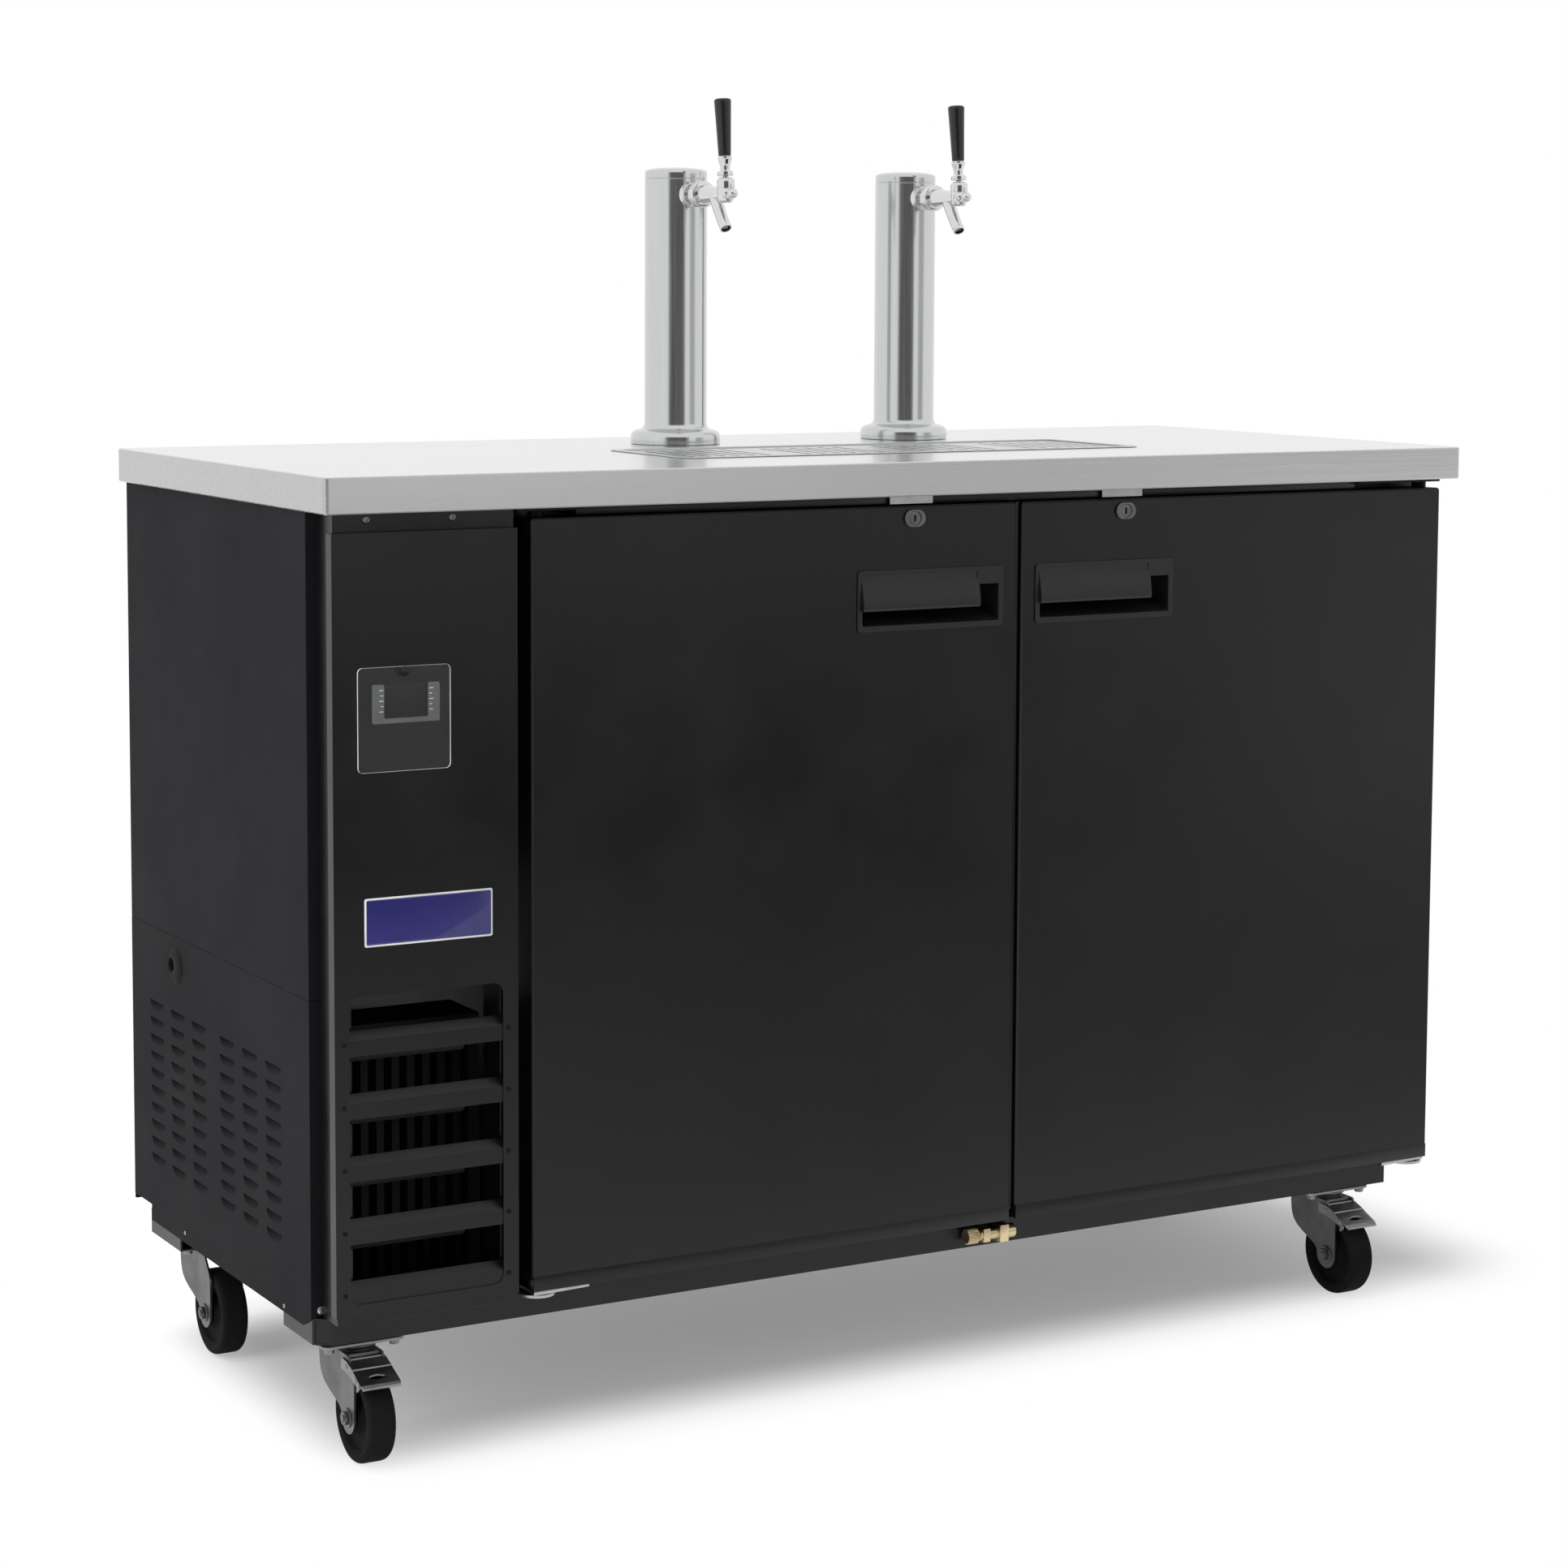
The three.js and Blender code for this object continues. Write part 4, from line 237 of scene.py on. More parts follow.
def turned_brass():
    shader = Shader("turned_brass", (0.62, 0.50, 0.30), 1.0, 0.28)
    rings = shader.noise(700.0, 4.0, 0.6, (1.0, 0.05, 0.05))
    stain = shader.noise(45.0, 4.0)
    shader.colour(shader.ramp(stain, (0.46, 0.35, 0.19), (0.78, 0.64, 0.40)))
    shader.gloss(shader.spread(rings, 0.22, 0.38))
    shader.bump(rings, 0.02, 0.5)
    return shader.material


def clear_sheet():
    """Thin clear plastic: mostly see-through, glossy, with faint wipe marks."""
    shader = Shader(
        "clear_sheet", (0.80, 0.82, 0.84), 0.0, 0.06, Alpha=0.016, Specular_IOR_Level=0.06,
    )
    wipe = shader.noise(30.0, 5.0, 0.65, (1.0, 1.0, 0.2))
    shader.gloss(shader.spread(wipe, 0.04, 0.13))
    shader.colour(shader.ramp(wipe, (0.70, 0.72, 0.74), (0.86, 0.88, 0.9)))
    return shader.material


def enamel_badge():
    shader = Shader("badge_enamel", (0.024, 0.021, 0.17), 0.0, 0.22, Coat_Weight=0.6)
    cloud = shader.noise(22.0, 3.0)
    shader.colour(shader.ramp(cloud, (0.020, 0.018, 0.145), (0.030, 0.026, 0.195)))
    shader.bump(shader.noise(260.0), 0.02, 0.3)
    return shader.material


black_side = painted("black_side_paint", (0.0136, 0.0134, 0.0152), 0.50, level=0.02)
black_front = painted("black_front_paint", (0.0052, 0.0052, 0.0064), 0.30, level=0.35)
# Dark paint of the rear grille, top hinges and machine bay; on the drip grate's slot walls it is painted
# shade.
dark_paint_and_shade = painted("dark_frame_paint_and_slot_shade", (0.006, 0.006, 0.0065), 0.5, level=0.15)
# The worktop's upright front and end edges get painted shade, darker below the height of its top.
worktop_steel = brushed("worktop_steel", (0.74, 0.74, 0.745), 0.20, "x", shade_below=(1.0598, 0.71))
liner_steel = brushed("liner_steel", (0.55, 0.555, 0.56), 0.34, "z")
tower_steel = brushed("tower_steel", (0.60, 0.605, 0.61), 0.13, "z", 420.0, 0.05, 0.004)
tray_steel = brushed("tray_steel", (0.56, 0.565, 0.57), 0.27, "x", 300.0, 0.08)
chrome = plated("faucet_chrome", (0.70, 0.70, 0.71), 0.10, 0.04)
zinc = plated("zinc_plate", (0.27, 0.275, 0.265), 0.34, 0.2, 45.0)
bright_zinc = plated("bright_zinc", (0.46, 0.465, 0.455), 0.30, 0.14, 45.0)
# A darker copy of the zinc plate: painted shade on the fork legs, which reflect a darker surround; the lock
# parts use it too.
darker_zinc = plated("darker_zinc", (0.16, 0.163, 0.16), 0.36, 0.2, 45.0)
brass = turned_brass()
copper = plated("copper_tube", (0.55, 0.25, 0.13), 0.3, 0.2)
aluminium = plated("mill_aluminium", (0.52, 0.53, 0.54), 0.36, 0.1, 80.0)
black_plastic = moulded("grained_plastic", (0.0078, 0.0078, 0.0088), 0.40, level=0.45)
gloss_plastic = moulded("handle_plastic", (0.008, 0.008, 0.009), 0.22, 500.0, 0.012)
grey_plastic = moulded("bezel_plastic", (0.115, 0.117, 0.118), 0.42, level=0.3)
# White plastic of the badge and the ticks; on the clear cover's edges it is a painted highlight.
white_plastic_and_edge_highlight = moulded("white_edge_and_cover_highlight", (0.78, 0.79, 0.79), 0.4)
rubber = moulded("seal_rubber", (0.008, 0.008, 0.0085), 0.62, 500.0, 0.05, 0.1)
tyre = moulded("tyre_rubber_tread", (0.0105, 0.0105, 0.0110), 0.75, 380.0, 0.08, 0.04)
wheel_core = moulded("wheel_core_plastic", (0.0070, 0.0070, 0.0076), 0.6, 500.0, 0.03, 0.04)
window = moulded("display_window", (0.010, 0.010, 0.011), 0.12, 200.0, 0.004)
clear = clear_sheet()
blue_enamel = enamel_badge()


# Mesh builders

X, Y, Z = Vector((1, 0, 0)), Vector((0, 1, 0)), Vector((0, 0, 1))
AXES = {"x": (Y, Z, X), "y": (X, Z, Y), "z": (X, Y, Z)}


def keep(data, name, materials, body, stands_for, angle, bevel=None):
    """Turns a bmesh into a piece that rides on a body, with smooth faces and crisp edges."""
    bmesh.ops.remove_doubles(data, verts=data.verts, dist=1e-6)
    bmesh.ops.recalc_face_normals(data, faces=data.faces)
    mesh = bpy.data.meshes.new(name)
    data.to_mesh(mesh)
    data.free()
    return keep_mesh(mesh, name, materials, body, stands_for, angle, bevel)


def keep_mesh(mesh, name, materials, body, stands_for, angle, bevel=None):
    """Makes the piece, ties it to its body and hides the CAD nodes that it stands for."""
    for material in materials:
        mesh.materials.append(material)
    mesh.shade_smooth()
    mesh.set_sharp_from_angle(angle=math.radians(angle))
    piece = bpy.data.objects.new(name, mesh)
    scene.collection.objects.link(piece)
    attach(piece, body)
    if stands_for:
        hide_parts(*stands_for)
    if bevel:
        round_edges(piece, *bevel)
    return piece


def round_edges(piece, width, segments=2):
    modifier = piece.modifiers.new("rounded_edges", "BEVEL")
    modifier.width = width * MM
    modifier.segments = segments
    modifier.limit_method = "ANGLE"
    modifier.angle_limit = math.radians(30.0)
    modifier.use_clamp_overlap = True
    modifier.harden_normals = False
    normals = piece.modifiers.new("even_normals", "WEIGHTED_NORMAL")
    normals.keep_sharp = False


def add_face(data, vertices, material=0):
    data.faces.new(vertices).material_index = material


def bridge(data, rings, material=0):
    """Bands of faces between closed rings with the same number of points."""
    for low, high in zip(rings, rings[1:]):
        for step in range(len(low)):
            after = (step + 1) % len(low)
            add_face(data, (low[step], low[after], high[after], high[step]), material)


def ring(data, middle, u, v, count, reach, phase=0.0):
    """Closed row of vertices in the plane of u and v, reach(angle) away from the middle."""
    row = []
    for step in range(count):
        angle = 2 * math.pi * step / count
        way = u * math.cos(angle + phase) + v * math.sin(angle + phase)
        row.append(data.verts.new((middle + way * reach(angle)) * MM))
    return row


def turn(data, profile, axis, centre, segments=64, material=0, teeth=0, tooth=0.0, lean=None):
    """Turned form: the profile is (radius, place along the axis). Teeth make it knurled."""
    u, v, along = AXES[axis]
    if lean is not None:
        u, v, along = lean @ u, lean @ v, lean @ along
    rings = []
    for radius, place in profile:
        middle = Vector(centre) + along * place
        count = segments if radius else 1
        rings.append(ring(
            data, middle, u, v, count, lambda angle: radius - tooth * (0.5 - 0.5 * math.cos(teeth * angle)),
        ))
    for low, high in zip(rings, rings[1:]):
        if len(low) == len(high) == segments:
            bridge(data, (low, high), material)
        elif len(low) != len(high):
            tip, border = sorted((low, high), key=len)
            for step in range(segments):
                add_face(data, (tip[0], border[(step + 1) % segments], border[step]), material)


def push(data, outline, axis, low, high):
    """Solid from an outline drawn in the two other axes, in alphabetical order."""
    u, v, along = AXES[axis]
    ends = []
    for place in (low, high):
        ends.append([data.verts.new((u * a + v * b + along * place) * MM) for a, b in outline])
    for end in ends:
        add_face(data, end)
    bridge(data, ends)


def brick(data, low, high, radius, segments=2, material=0):
    """Block with rounded edges between two corners."""
    low, high = Vector(low) * MM, Vector(high) * MM
    place = Matrix.LocRotScale((low + high) / 2, None, high - low)
    made = bmesh.ops.create_cube(data, size=1.0, matrix=place)["verts"]
    edges = list({edge for vertex in made for edge in vertex.link_edges})
    faces = {face for vertex in made for face in vertex.link_faces}
    for face in faces:
        face.material_index = material
    result = bmesh.ops.bevel(
        data, geom=edges + made, offset=radius * MM, segments=segments, profile=0.5, affect="EDGES",
    )
    for face in result["faces"]:
        face.material_index = material


def sweep(data, points, radii, segments=24, material=0, caps=True):
    """Round tube through points, with a radius at each."""
    places = [Vector(point) for point in points]
    normal = None
    rings = []
    for index, spot in enumerate(places):
        ahead = places[min(index + 1, len(places) - 1)]
        behind = places[max(index - 1, 0)]
        direction = (ahead - behind).normalized()
        if normal is None:
            normal = direction.orthogonal().normalized()
        normal = (normal - direction * normal.dot(direction)).normalized()
        side = direction.cross(normal)
        rings.append(ring(data, spot, normal, side, segments, lambda angle: radii[index]))
    bridge(data, rings, material)
    if caps:
        add_face(data, rings[0], material)
        add_face(data, rings[-1], material)
    return rings


def rod(data, start, end, radius):
    sweep(data, [start, end], [radius, radius], 20)


def arc(centre_u, centre_v, radius, start, end, steps):
    """Points of an arc, its angles in degrees."""
    points = []
    for step in range(steps + 1):
        angle = math.radians(start + (end - start) * step / steps)
        points.append((centre_u + radius * math.cos(angle), centre_v + radius * math.sin(angle)))
    return points


def circle(centre_u, centre_v, radius, count):
    """Points of a whole circle, the first of them not repeated."""
    return arc(centre_u, centre_v, radius, 0, 360 - 360 / count, count - 1)


def bent(start, bend, end, steps):
    """Points of a quadratic curve from start to end that leans towards the bend."""
    points = []
    for step in range(steps + 1):
        t = step / steps
        points.append(start * (1 - t) ** 2 + bend * (2 * t * (1 - t)) + end * t ** 2)
    return points


def round_rectangle(u0, u1, v0, v1, radius, steps=6):
    return (
        arc(u1 - radius, v0 + radius, radius, -90, 0, steps)
        + arc(u1 - radius, v1 - radius, radius, 0, 90, steps)
        + arc(u0 + radius, v1 - radius, radius, 90, 180, steps)
        + arc(u0 + radius, v0 + radius, radius, 180, 270, steps)
    )


def centred_rectangle(u, v, half_u, half_v, radius, steps=6):
    return round_rectangle(u - half_u, u + half_u, v - half_v, v + half_v, radius, steps)


def inset_rectangle(sides, inset, radius):
    """Round rectangle inside the sides (left, right, bottom, top)."""
    left, right, bottom, top = sides
    return round_rectangle(left + inset, right - inset, bottom + inset, top - inset, radius)


def ribs(start, end, pitch, rib):
    """Profile of equal ribs, each drawn as (radius, place from the rib's own start)."""
    points = []
    while start < end:
        points += [(radius, start + place) for radius, place in rib]
        start += pitch
    return points


def round_corners(points, radius, steps=4):
    """Outline whose corners are eased by a quadratic curve of about the given radius."""
    eased = []
    for index, point in enumerate(points):
        here = Vector(point)
        ends = []
        for other in (points[index - 1], points[(index + 1) % len(points)]):
            away = Vector(other) - here
            ends.append(here + away.normalized() * min(radius, away.length * 0.45))
        eased += [tuple(spot) for spot in bent(ends[0], here, ends[1], steps)]
    return eased


def pierced(loops, axis, low, high, edge):
    """Mesh of a plate with round edges; the first loop is its outline, the others its holes.
    The loops are drawn with the edge radius already taken off."""
    curve = bpy.data.curves.new("loops", "CURVE")
    curve.dimensions = "2D"
    curve.fill_mode = "BOTH"
    curve.extrude = ((high - low) / 2 - edge) * MM
    curve.bevel_depth = edge * MM
    curve.bevel_resolution = 1
    for loop in loops:
        spline = curve.splines.new("POLY")
        spline.points.add(len(loop) - 1)
        for point, (a, b) in zip(spline.points, loop):
            point.co = (a * MM, b * MM, 0.0, 1.0)
        spline.use_cyclic_u = True
    holder = bpy.data.objects.new("loops", curve)
    scene.collection.objects.link(holder)
    bpy.context.view_layer.update()
    shown = holder.evaluated_get(bpy.context.evaluated_depsgraph_get())
    mesh = bpy.data.meshes.new_from_object(shown)
    bpy.data.objects.remove(holder)
    bpy.data.curves.remove(curve)
    u, v, along = AXES[axis]
    middle = (low + high) / 2 * MM
    for vertex in mesh.vertices:
        a, b, c = vertex.co
        vertex.co = u * a + v * b + along * (c + middle)
    if axis == "y":
        mesh.flip_normals()
    return mesh


def plate(data, loops, axis, low, high, edge):
    """Adds a pierced plate to the piece that is being built."""
    mesh = pierced(loops, axis, low, high, edge)
    data.from_mesh(mesh)
    bpy.data.meshes.remove(mesh)


def fill_grid(data, grid):
    for low, high in zip(grid, grid[1:]):
        for j in range(len(low) - 1):
            add_face(data, (low[j], low[j + 1], high[j + 1], high[j]))


def rim(grid):
    """Border of a grid, once round."""
    right, left = [row[-1] for row in grid], [row[0] for row in grid]
    return grid[0][:-1] + right[:-1] + grid[-1][:0:-1] + left[:0:-1]


def shell(data, outer, inner):
    """Closed sheet between two grids of points, the same rows and columns in each."""
    rims = []
    for grid in (outer, inner):
        grid = [[data.verts.new(Vector(spot) * MM) for spot in row] for row in grid]
        fill_grid(data, grid)
        rims.append(rim(grid))
    bridge(data, rims)


SCREW_GRID = (-1.0, -0.86, -0.66, -0.5, -0.32, -0.17, -0.14, 0.14, 0.17, 0.32, 0.5, 0.66, 0.86, 1.0)
CROSS_HALF_WIDTH, CROSS_REACH, CROSS_DEPTH = 0.15, 0.55, 0.55
SCREW_RIM = 0.35


def screw(data, centre, axis, side, radius, height, cross=True, spin=0.3):
    """Pan head with a cross recess, facing along an axis."""
    u, v, along = AXES[axis]
    origin = Vector(centre)
    turned_u = u * math.cos(spin) + v * math.sin(spin)
    turned_v = v * math.cos(spin) - u * math.sin(spin)
    rows = []
    for b in SCREW_GRID:
        row = []
        for a in SCREW_GRID:
            x = a * math.sqrt(1 - b * b / 2)
            y = b * math.sqrt(1 - a * a / 2)
            reach = min(x * x + y * y, 1.0)
            rise = height * (SCREW_RIM + (1 - SCREW_RIM) * math.sqrt(max(0.0, 1 - reach ** 1.6)))
            near, far = sorted((abs(a), abs(b)))
            if cross and near <= CROSS_HALF_WIDTH and far < CROSS_REACH:
                rise -= height * CROSS_DEPTH
            spot = turned_u * (x * radius) + turned_v * (y * radius) + along * (side * rise)
            row.append(data.verts.new((origin + spot) * MM))
        rows.append(row)
    fill_grid(data, rows)
    border = rim(rows)
    foot = [data.verts.new(vertex.co - along * (side * height * SCREW_RIM * MM)) for vertex in border]
    bridge(data, (border, foot))
    add_face(data, foot)


def dome(data, centre, axis, side, radius, height):
    """Rivet head: a low dome on a short rim."""
    profile = [(0.0, 0.0), (radius, 0.0), (radius, side * height * 0.25)]
    for step in range(1, 5):
        angle = math.pi / 2 * step / 4
        rise = height * (0.25 + 0.75 * math.sin(angle))
        profile.append((radius * math.cos(angle) if step < 4 else 0.0, side * rise))
    turn(data, profile, axis, centre, 20)


HEXAGON_STEPS = 24
HEXAGON_CROWN = 0.18


def hexagon(data, centre, axis, low, high, across, phase):
    """Hexagon head or nut with an eased crown."""
    u, v, along = AXES[axis]
    corner = across / 2 / math.cos(math.pi / 6)
    crown = (high - low) * HEXAGON_CROWN

    def flat(angle):
        return across / 2 / math.cos((angle + math.pi / 6) % (math.pi / 3) - math.pi / 6)

    rings = []
    for place, share in ((low, 0.97), (low + crown / 2, 1.0), (high - crown, 1.0), (high, 0.86)):
        middle = Vector(centre) + along * place
        rings.append(ring(
            data, middle, u, v, HEXAGON_STEPS, lambda angle: min(flat(angle), corner * share), phase,
        ))
    bridge(data, rings)
    add_face(data, rings[0])
    add_face(data, rings[-1])


def dress(name, material, bevel, segments=2):
    """Gives a CAD node its material and, by modifiers, its eased edges."""
    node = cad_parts[name]
    for place in node.material_slots:
        place.material = material
    node.modifiers.new("weld", "WELD").merge_threshold = 0.02 * MM
    flat = node.modifiers.new("flat_faces", "DECIMATE")
    flat.decimate_type = "DISSOLVE"
    flat.angle_limit = math.radians(1.0)
    round_edges(node, bevel, segments)


# CAD nodes that keep their shape

dress("base_frame", black_front, 1.2)
dress("cabinet_shell", black_front, 1.0)
dress("inner_liner", liner_steel, 0.5)
dress("upper_side_panel", black_side, 0.6)
dress("rear_grille", dark_paint_and_shade, 0.3)
dress("machine_frame", black_front, 1.2)
dress("grille_panel", black_front, 0.8)
dress("worktop", worktop_steel, 0.8, 3)
dress("drip_pan", tray_steel, 0.4)
dress("compressor", dark_paint_and_shade, 0.8)
dress("condenser", dark_paint_and_shade, 0.5)
dress("evaporator", aluminium, 0.8)
dress("controller", black_plastic, 0.4)
for hand in ("left", "right"):
    dress(f"door_{hand}", black_front, 1.4, 3)
    dress(f"door_gasket_{hand}", rubber, 1.5)
    dress(f"lock_strike_{hand}", bright_zinc, 0.5)
    dress(f"bottom_hinge_{hand}", bright_zinc, 0.5)
    dress(f"top_hinge_{hand}", dark_paint_and_shade, 0.6)


# Louvred lower side panel

SIDE_LOW, SIDE_HIGH = corners("lower_side_panel")
SHEET = 1.2
SIDE_NOTCH = (59.0, 19.0)
SIDE_CUT = (24.0, 12.0)
LOUVRE_REACH = 22.6
LOUVRE_DROP = 10.2
LOUVRE_DEPTH = 7.4
LOUVRE_TOP = 413.6
LOUVRE_PITCH = 20.5
LOUVRE_FIRST_Y = 220.0
LOUVRE_BANKS, LOUVRE_BANK_PITCH = 2, 230.0
LOUVRE_COLUMNS, LOUVRE_COLUMN_PITCH = 3, 70.0
LOUVRE_ROWS = 10
LOUVRE_STEPS = 16
LOUVRE_EDGE = 0.25
GROMMET_PLACE = (153.6, 468.0)


def louvre_drop(u, grow=0.0):
    """Height of a louvre's rounded lower border at a share of its half length."""
    return (LOUVRE_DROP + grow) * max(0.0, 1 - abs(u) ** 3.4) ** 0.5


def louvre_mouth(y, z):
    """Outline of a louvre's hole, grown by the edge that is rounded off."""
    reach = LOUVRE_REACH + LOUVRE_EDGE
    border = []
    for step in range(1, LOUVRE_STEPS):
        u = -math.cos(math.pi * step / LOUVRE_STEPS)
        border.append((y + u * reach, z - louvre_drop(u, LOUVRE_EDGE)))
    return [(y + reach, z + LOUVRE_EDGE), (y - reach, z + LOUVRE_EDGE)] + border


def louvre_scoop(data, y, z):
    """Pressed floor of a louvre: deepest along its straight top edge, flush along its border."""
    outer, inner = [], []
    for step in range(LOUVRE_STEPS + 1):
        u = -math.cos(math.pi * step / LOUVRE_STEPS)
        deep = LOUVRE_DEPTH * max(0.0, 1 - abs(u) ** 9) ** 0.5
        row = []
        for fall in range(7):
            v = fall / 6
            x = SIDE_LOW[0] + 0.3 + deep * (1 - v) ** 0.85
            row.append((x, y + u * LOUVRE_REACH, z - louvre_drop(u) * v))
        outer.append(row)
        inner.append([(x + SHEET - 0.2, b, c) for x, b, c in row])
    shell(data, outer, inner)


def louvred_panel():
    """Sheet pierced for the louvres and the grommet, its scoops, and its front and back folds."""
    data = bmesh.new()
    _, front, low = SIDE_LOW
    _, back, high = SIDE_HIGH
    edge = LOUVRE_EDGE
    cut_y, cut_z = front + SIDE_CUT[0], low + SIDE_CUT[1]
    notch_y, notch_z = back - SIDE_NOTCH[0] - edge, low + SIDE_NOTCH[1] + edge
    outline = [
        (front + edge, cut_z), (cut_y, low + edge), (notch_y, low + edge), (notch_y, notch_z),
        (back - edge, notch_z), (back - edge, high - edge), (front + edge, high - edge),
    ]
    loops = [outline, circle(*GROMMET_PLACE, 19.8, 36)]
    places = []
    for bank in range(LOUVRE_BANKS):
        for column in range(LOUVRE_COLUMNS):
            for row in range(LOUVRE_ROWS):
                y = LOUVRE_FIRST_Y - bank * LOUVRE_BANK_PITCH - column * LOUVRE_COLUMN_PITCH
                places.append((y, LOUVRE_TOP - row * LOUVRE_PITCH))
    loops += [louvre_mouth(y, z) for y, z in places]
    plate(data, loops, "x", SIDE_LOW[0], SIDE_LOW[0] + SHEET, edge)
    for y, z in places:
        louvre_scoop(data, y, z)
    fold_low = corners("cabinet_shell")[0][2]
    for y in (front, back - SHEET):
        brick(
            data, (SIDE_LOW[0] + 0.2, y + 0.05, fold_low), (SIDE_HIGH[0], y + SHEET - 0.05, high), 0.2,
        )
    panel = keep(data, "louvred_side", [black_side], "cabinet", ("lower_side_panel",), 24)
    panel.modifiers.new("even_normals", "WEIGHTED_NORMAL").keep_sharp = True


louvred_panel()


# Casters

KINGPIN_Y = {"front": -239.0, "rear": 196.0}
TRAIL = 32.0
AXLE_Z = 50.1746
PLATE_TOP = 129.7
PLATE_SHEET = 3.0
PLATE_HALF = (46.6, 31.6)
BOLT_X, BOLT_Y = 37.5, 23.0
RACE = (
    (12.0, 126.9), (27.6, 126.9), (28.0, 126.3), (27.6, 125.4), (26.0, 125.2), (25.8, 124.6),
    (26.6, 124.2), (26.8, 123.4), (26.2, 122.7), (24.2, 122.5), (24.0, 121.2), (23.0, 119.9),
    (21.4, 119.7), (12.0, 119.7),
)
BOLT_WASHER = ((0, 126.8), (7.4, 126.8), (7.4, 125.6), (7.0, 125.2), (0, 125.2))


def caster_plate(place, x, y):
    """Plate with its race below and a bolt at each corner."""
    data = bmesh.new()
    spots = [(sx, sy, x + sx * BOLT_X, y + sy * BOLT_Y) for sx in (-1, 1) for sy in (-1, 1)]
    loops = [centred_rectangle(x, y, *PLATE_HALF, 7.6)]
    loops += [circle(bolt_x, bolt_y, 4.6, 12) for _, _, bolt_x, bolt_y in spots]
    plate(data, loops, "z", PLATE_TOP - PLATE_SHEET, PLATE_TOP, 0.4)
    turn(data, RACE, "z", (x, y, 0))
    for sx, sy, bolt_x, bolt_y in spots:
        turn(data, BOLT_WASHER, "z", (bolt_x, bolt_y, 0), 24)
        hexagon(data, (bolt_x, bolt_y, 0), "z", 120.9, 125.3, 9.6, 0.3 * sx + 0.5 * sy)
    keep(data, f"plate_and_bolts_{place}", [zinc], "cabinet", (f"caster_plate_{place}",), 40)


LEG_RADIUS = 17.6
LEG_ROWS = (
    (117.4, -33.0, 31.0), (112.0, -37.0, 31.0), (106.0, -42.0, 30.8), (100.0, -46.5, 30.4),
    (94.0, -49.4, 29.6), (88.0, -49.6, 28.0), (82.0, -49.6, 25.0), (76.0, -49.6, 19.4),
    (70.0, -49.6, 10.4), (64.0, -49.6, 0.0), (58.0, -49.6, -9.6), (53.0, -49.6, -14.2),
)
LEG_CREASE = -12.0
LEG_FLARE = 6.4
LEG_REACH = 20.6
LEG_SHEET = 2.4


def leg_rows():
    """Height, front and rear edge of a fork's leg, measured from the kingpin."""
    rows = list(LEG_ROWS)
    for step in range(9):
        angle = math.pi / 2 * step / 8
        half = LEG_RADIUS * max(math.cos(angle), 0.08)
        rows.append((AXLE_Z - LEG_RADIUS * math.sin(angle), -TRAIL - half, -TRAIL + half))
    return rows


def caster_leg(data, x, y, side):
    """One leg: a flat strip with an upright front edge, and a rear part that bows outwards."""
    outer, inner = [], []
    for z, front, rear in leg_rows():
        row, back = [], []
        for step in range(15):
            place = front + (rear - front) * step / 14
            bow = max(0.0, (place - LEG_CREASE) / (30.0 - LEG_CREASE))
            reach = LEG_REACH + LEG_FLARE * bow
            row.append((x + side * reach, y + place, z))
            back.append((x + side * (reach - LEG_SHEET), y + place, z))
        outer.append(row)
        inner.append(back)
    shell(data, outer, inner)


AXLE_WASHER = ((0, 20.4), (10.6, 20.4), (10.6, 21.8), (10.1, 22.2), (0, 22.2))
AXLE_TIP = ((0, 26.0), (3.9, 26.0), (3.9, 27.1), (3.4, 27.5), (0, 27.5))
FORK_HEAD = (
    (0, 116.5), (22.6, 116.5), (23.4, 117.4), (23.6, 118.2), (22.8, 119.2), (21.2, 119.4), (0, 119.4),
)
KINGPIN = ((0, 119.0), (6.0, 119.0), (6.0, 129.0), (5.4, 129.4), (0, 129.4))


def caster_fork(place, x, y, braked):
    """Two legs under a head, with the kingpin, the axle bolt and the brake's cross bar."""
    data = bmesh.new()
    axle = (x, y - TRAIL, AXLE_Z)
    for side in (-1, 1):
        caster_leg(data, x, y, side)
        turn(data, [(radius, side * out) for radius, out in AXLE_WASHER], "x", axle, 32)
        low, high = sorted((side * 22.0, side * 26.2))
        hexagon(data, axle, "x", low, high, 13.6, 0.4)
        turn(data, [(radius, side * out) for radius, out in AXLE_TIP], "x", axle, 24)
    push(data, round_rectangle(x - 20.5, x + 20.5, y - 30.0, y + 26.0, 3.0), "z", 114.9, 117.7)
    turn(data, FORK_HEAD, "z", (x, y, 0))
    turn(data, KINGPIN, "z", (x, y, 0), 24)
    turn(data, [(5.0, -18.2), (5.0, 18.2)], "x", axle, 24)
    if braked:
        rod(data, (x - 22.4, y - 22, 108.7), (x + 22.4, y - 22, 108.7), 3.0)
    # The forks take the darker zinc: painted shade.
    keep(data, f"yoke_{place}", [darker_zinc], f"fork_{place}", (f"caster_fork_{place}",), 22)


WHEEL_CORE = (
    (5.6, 16.5), (9.0, 16.5), (9.6, 15.9), (15.8, 15.9), (17.2, 14.8), (18.6, 11.4), (21.0, 9.8),
    (31.0, 9.2), (34.0, 10.2), (35.6, 13.2), (36.6, 14.6), (38.0, 14.9), (38.3, 14.4),
)
WHEEL_BAND = (
    (38.2, 14.0), (38.6, 14.2), (39.4, 15.2), (42.6, 15.9), (45.6, 15.7), (47.9, 14.7), (49.3, 13.0),
    (49.95, 10.8), (50.12, 8.0), (50.17, 0.0),
)


def mirrored(half):
    return list(half) + [(radius, -place) for radius, place in reversed(half)]


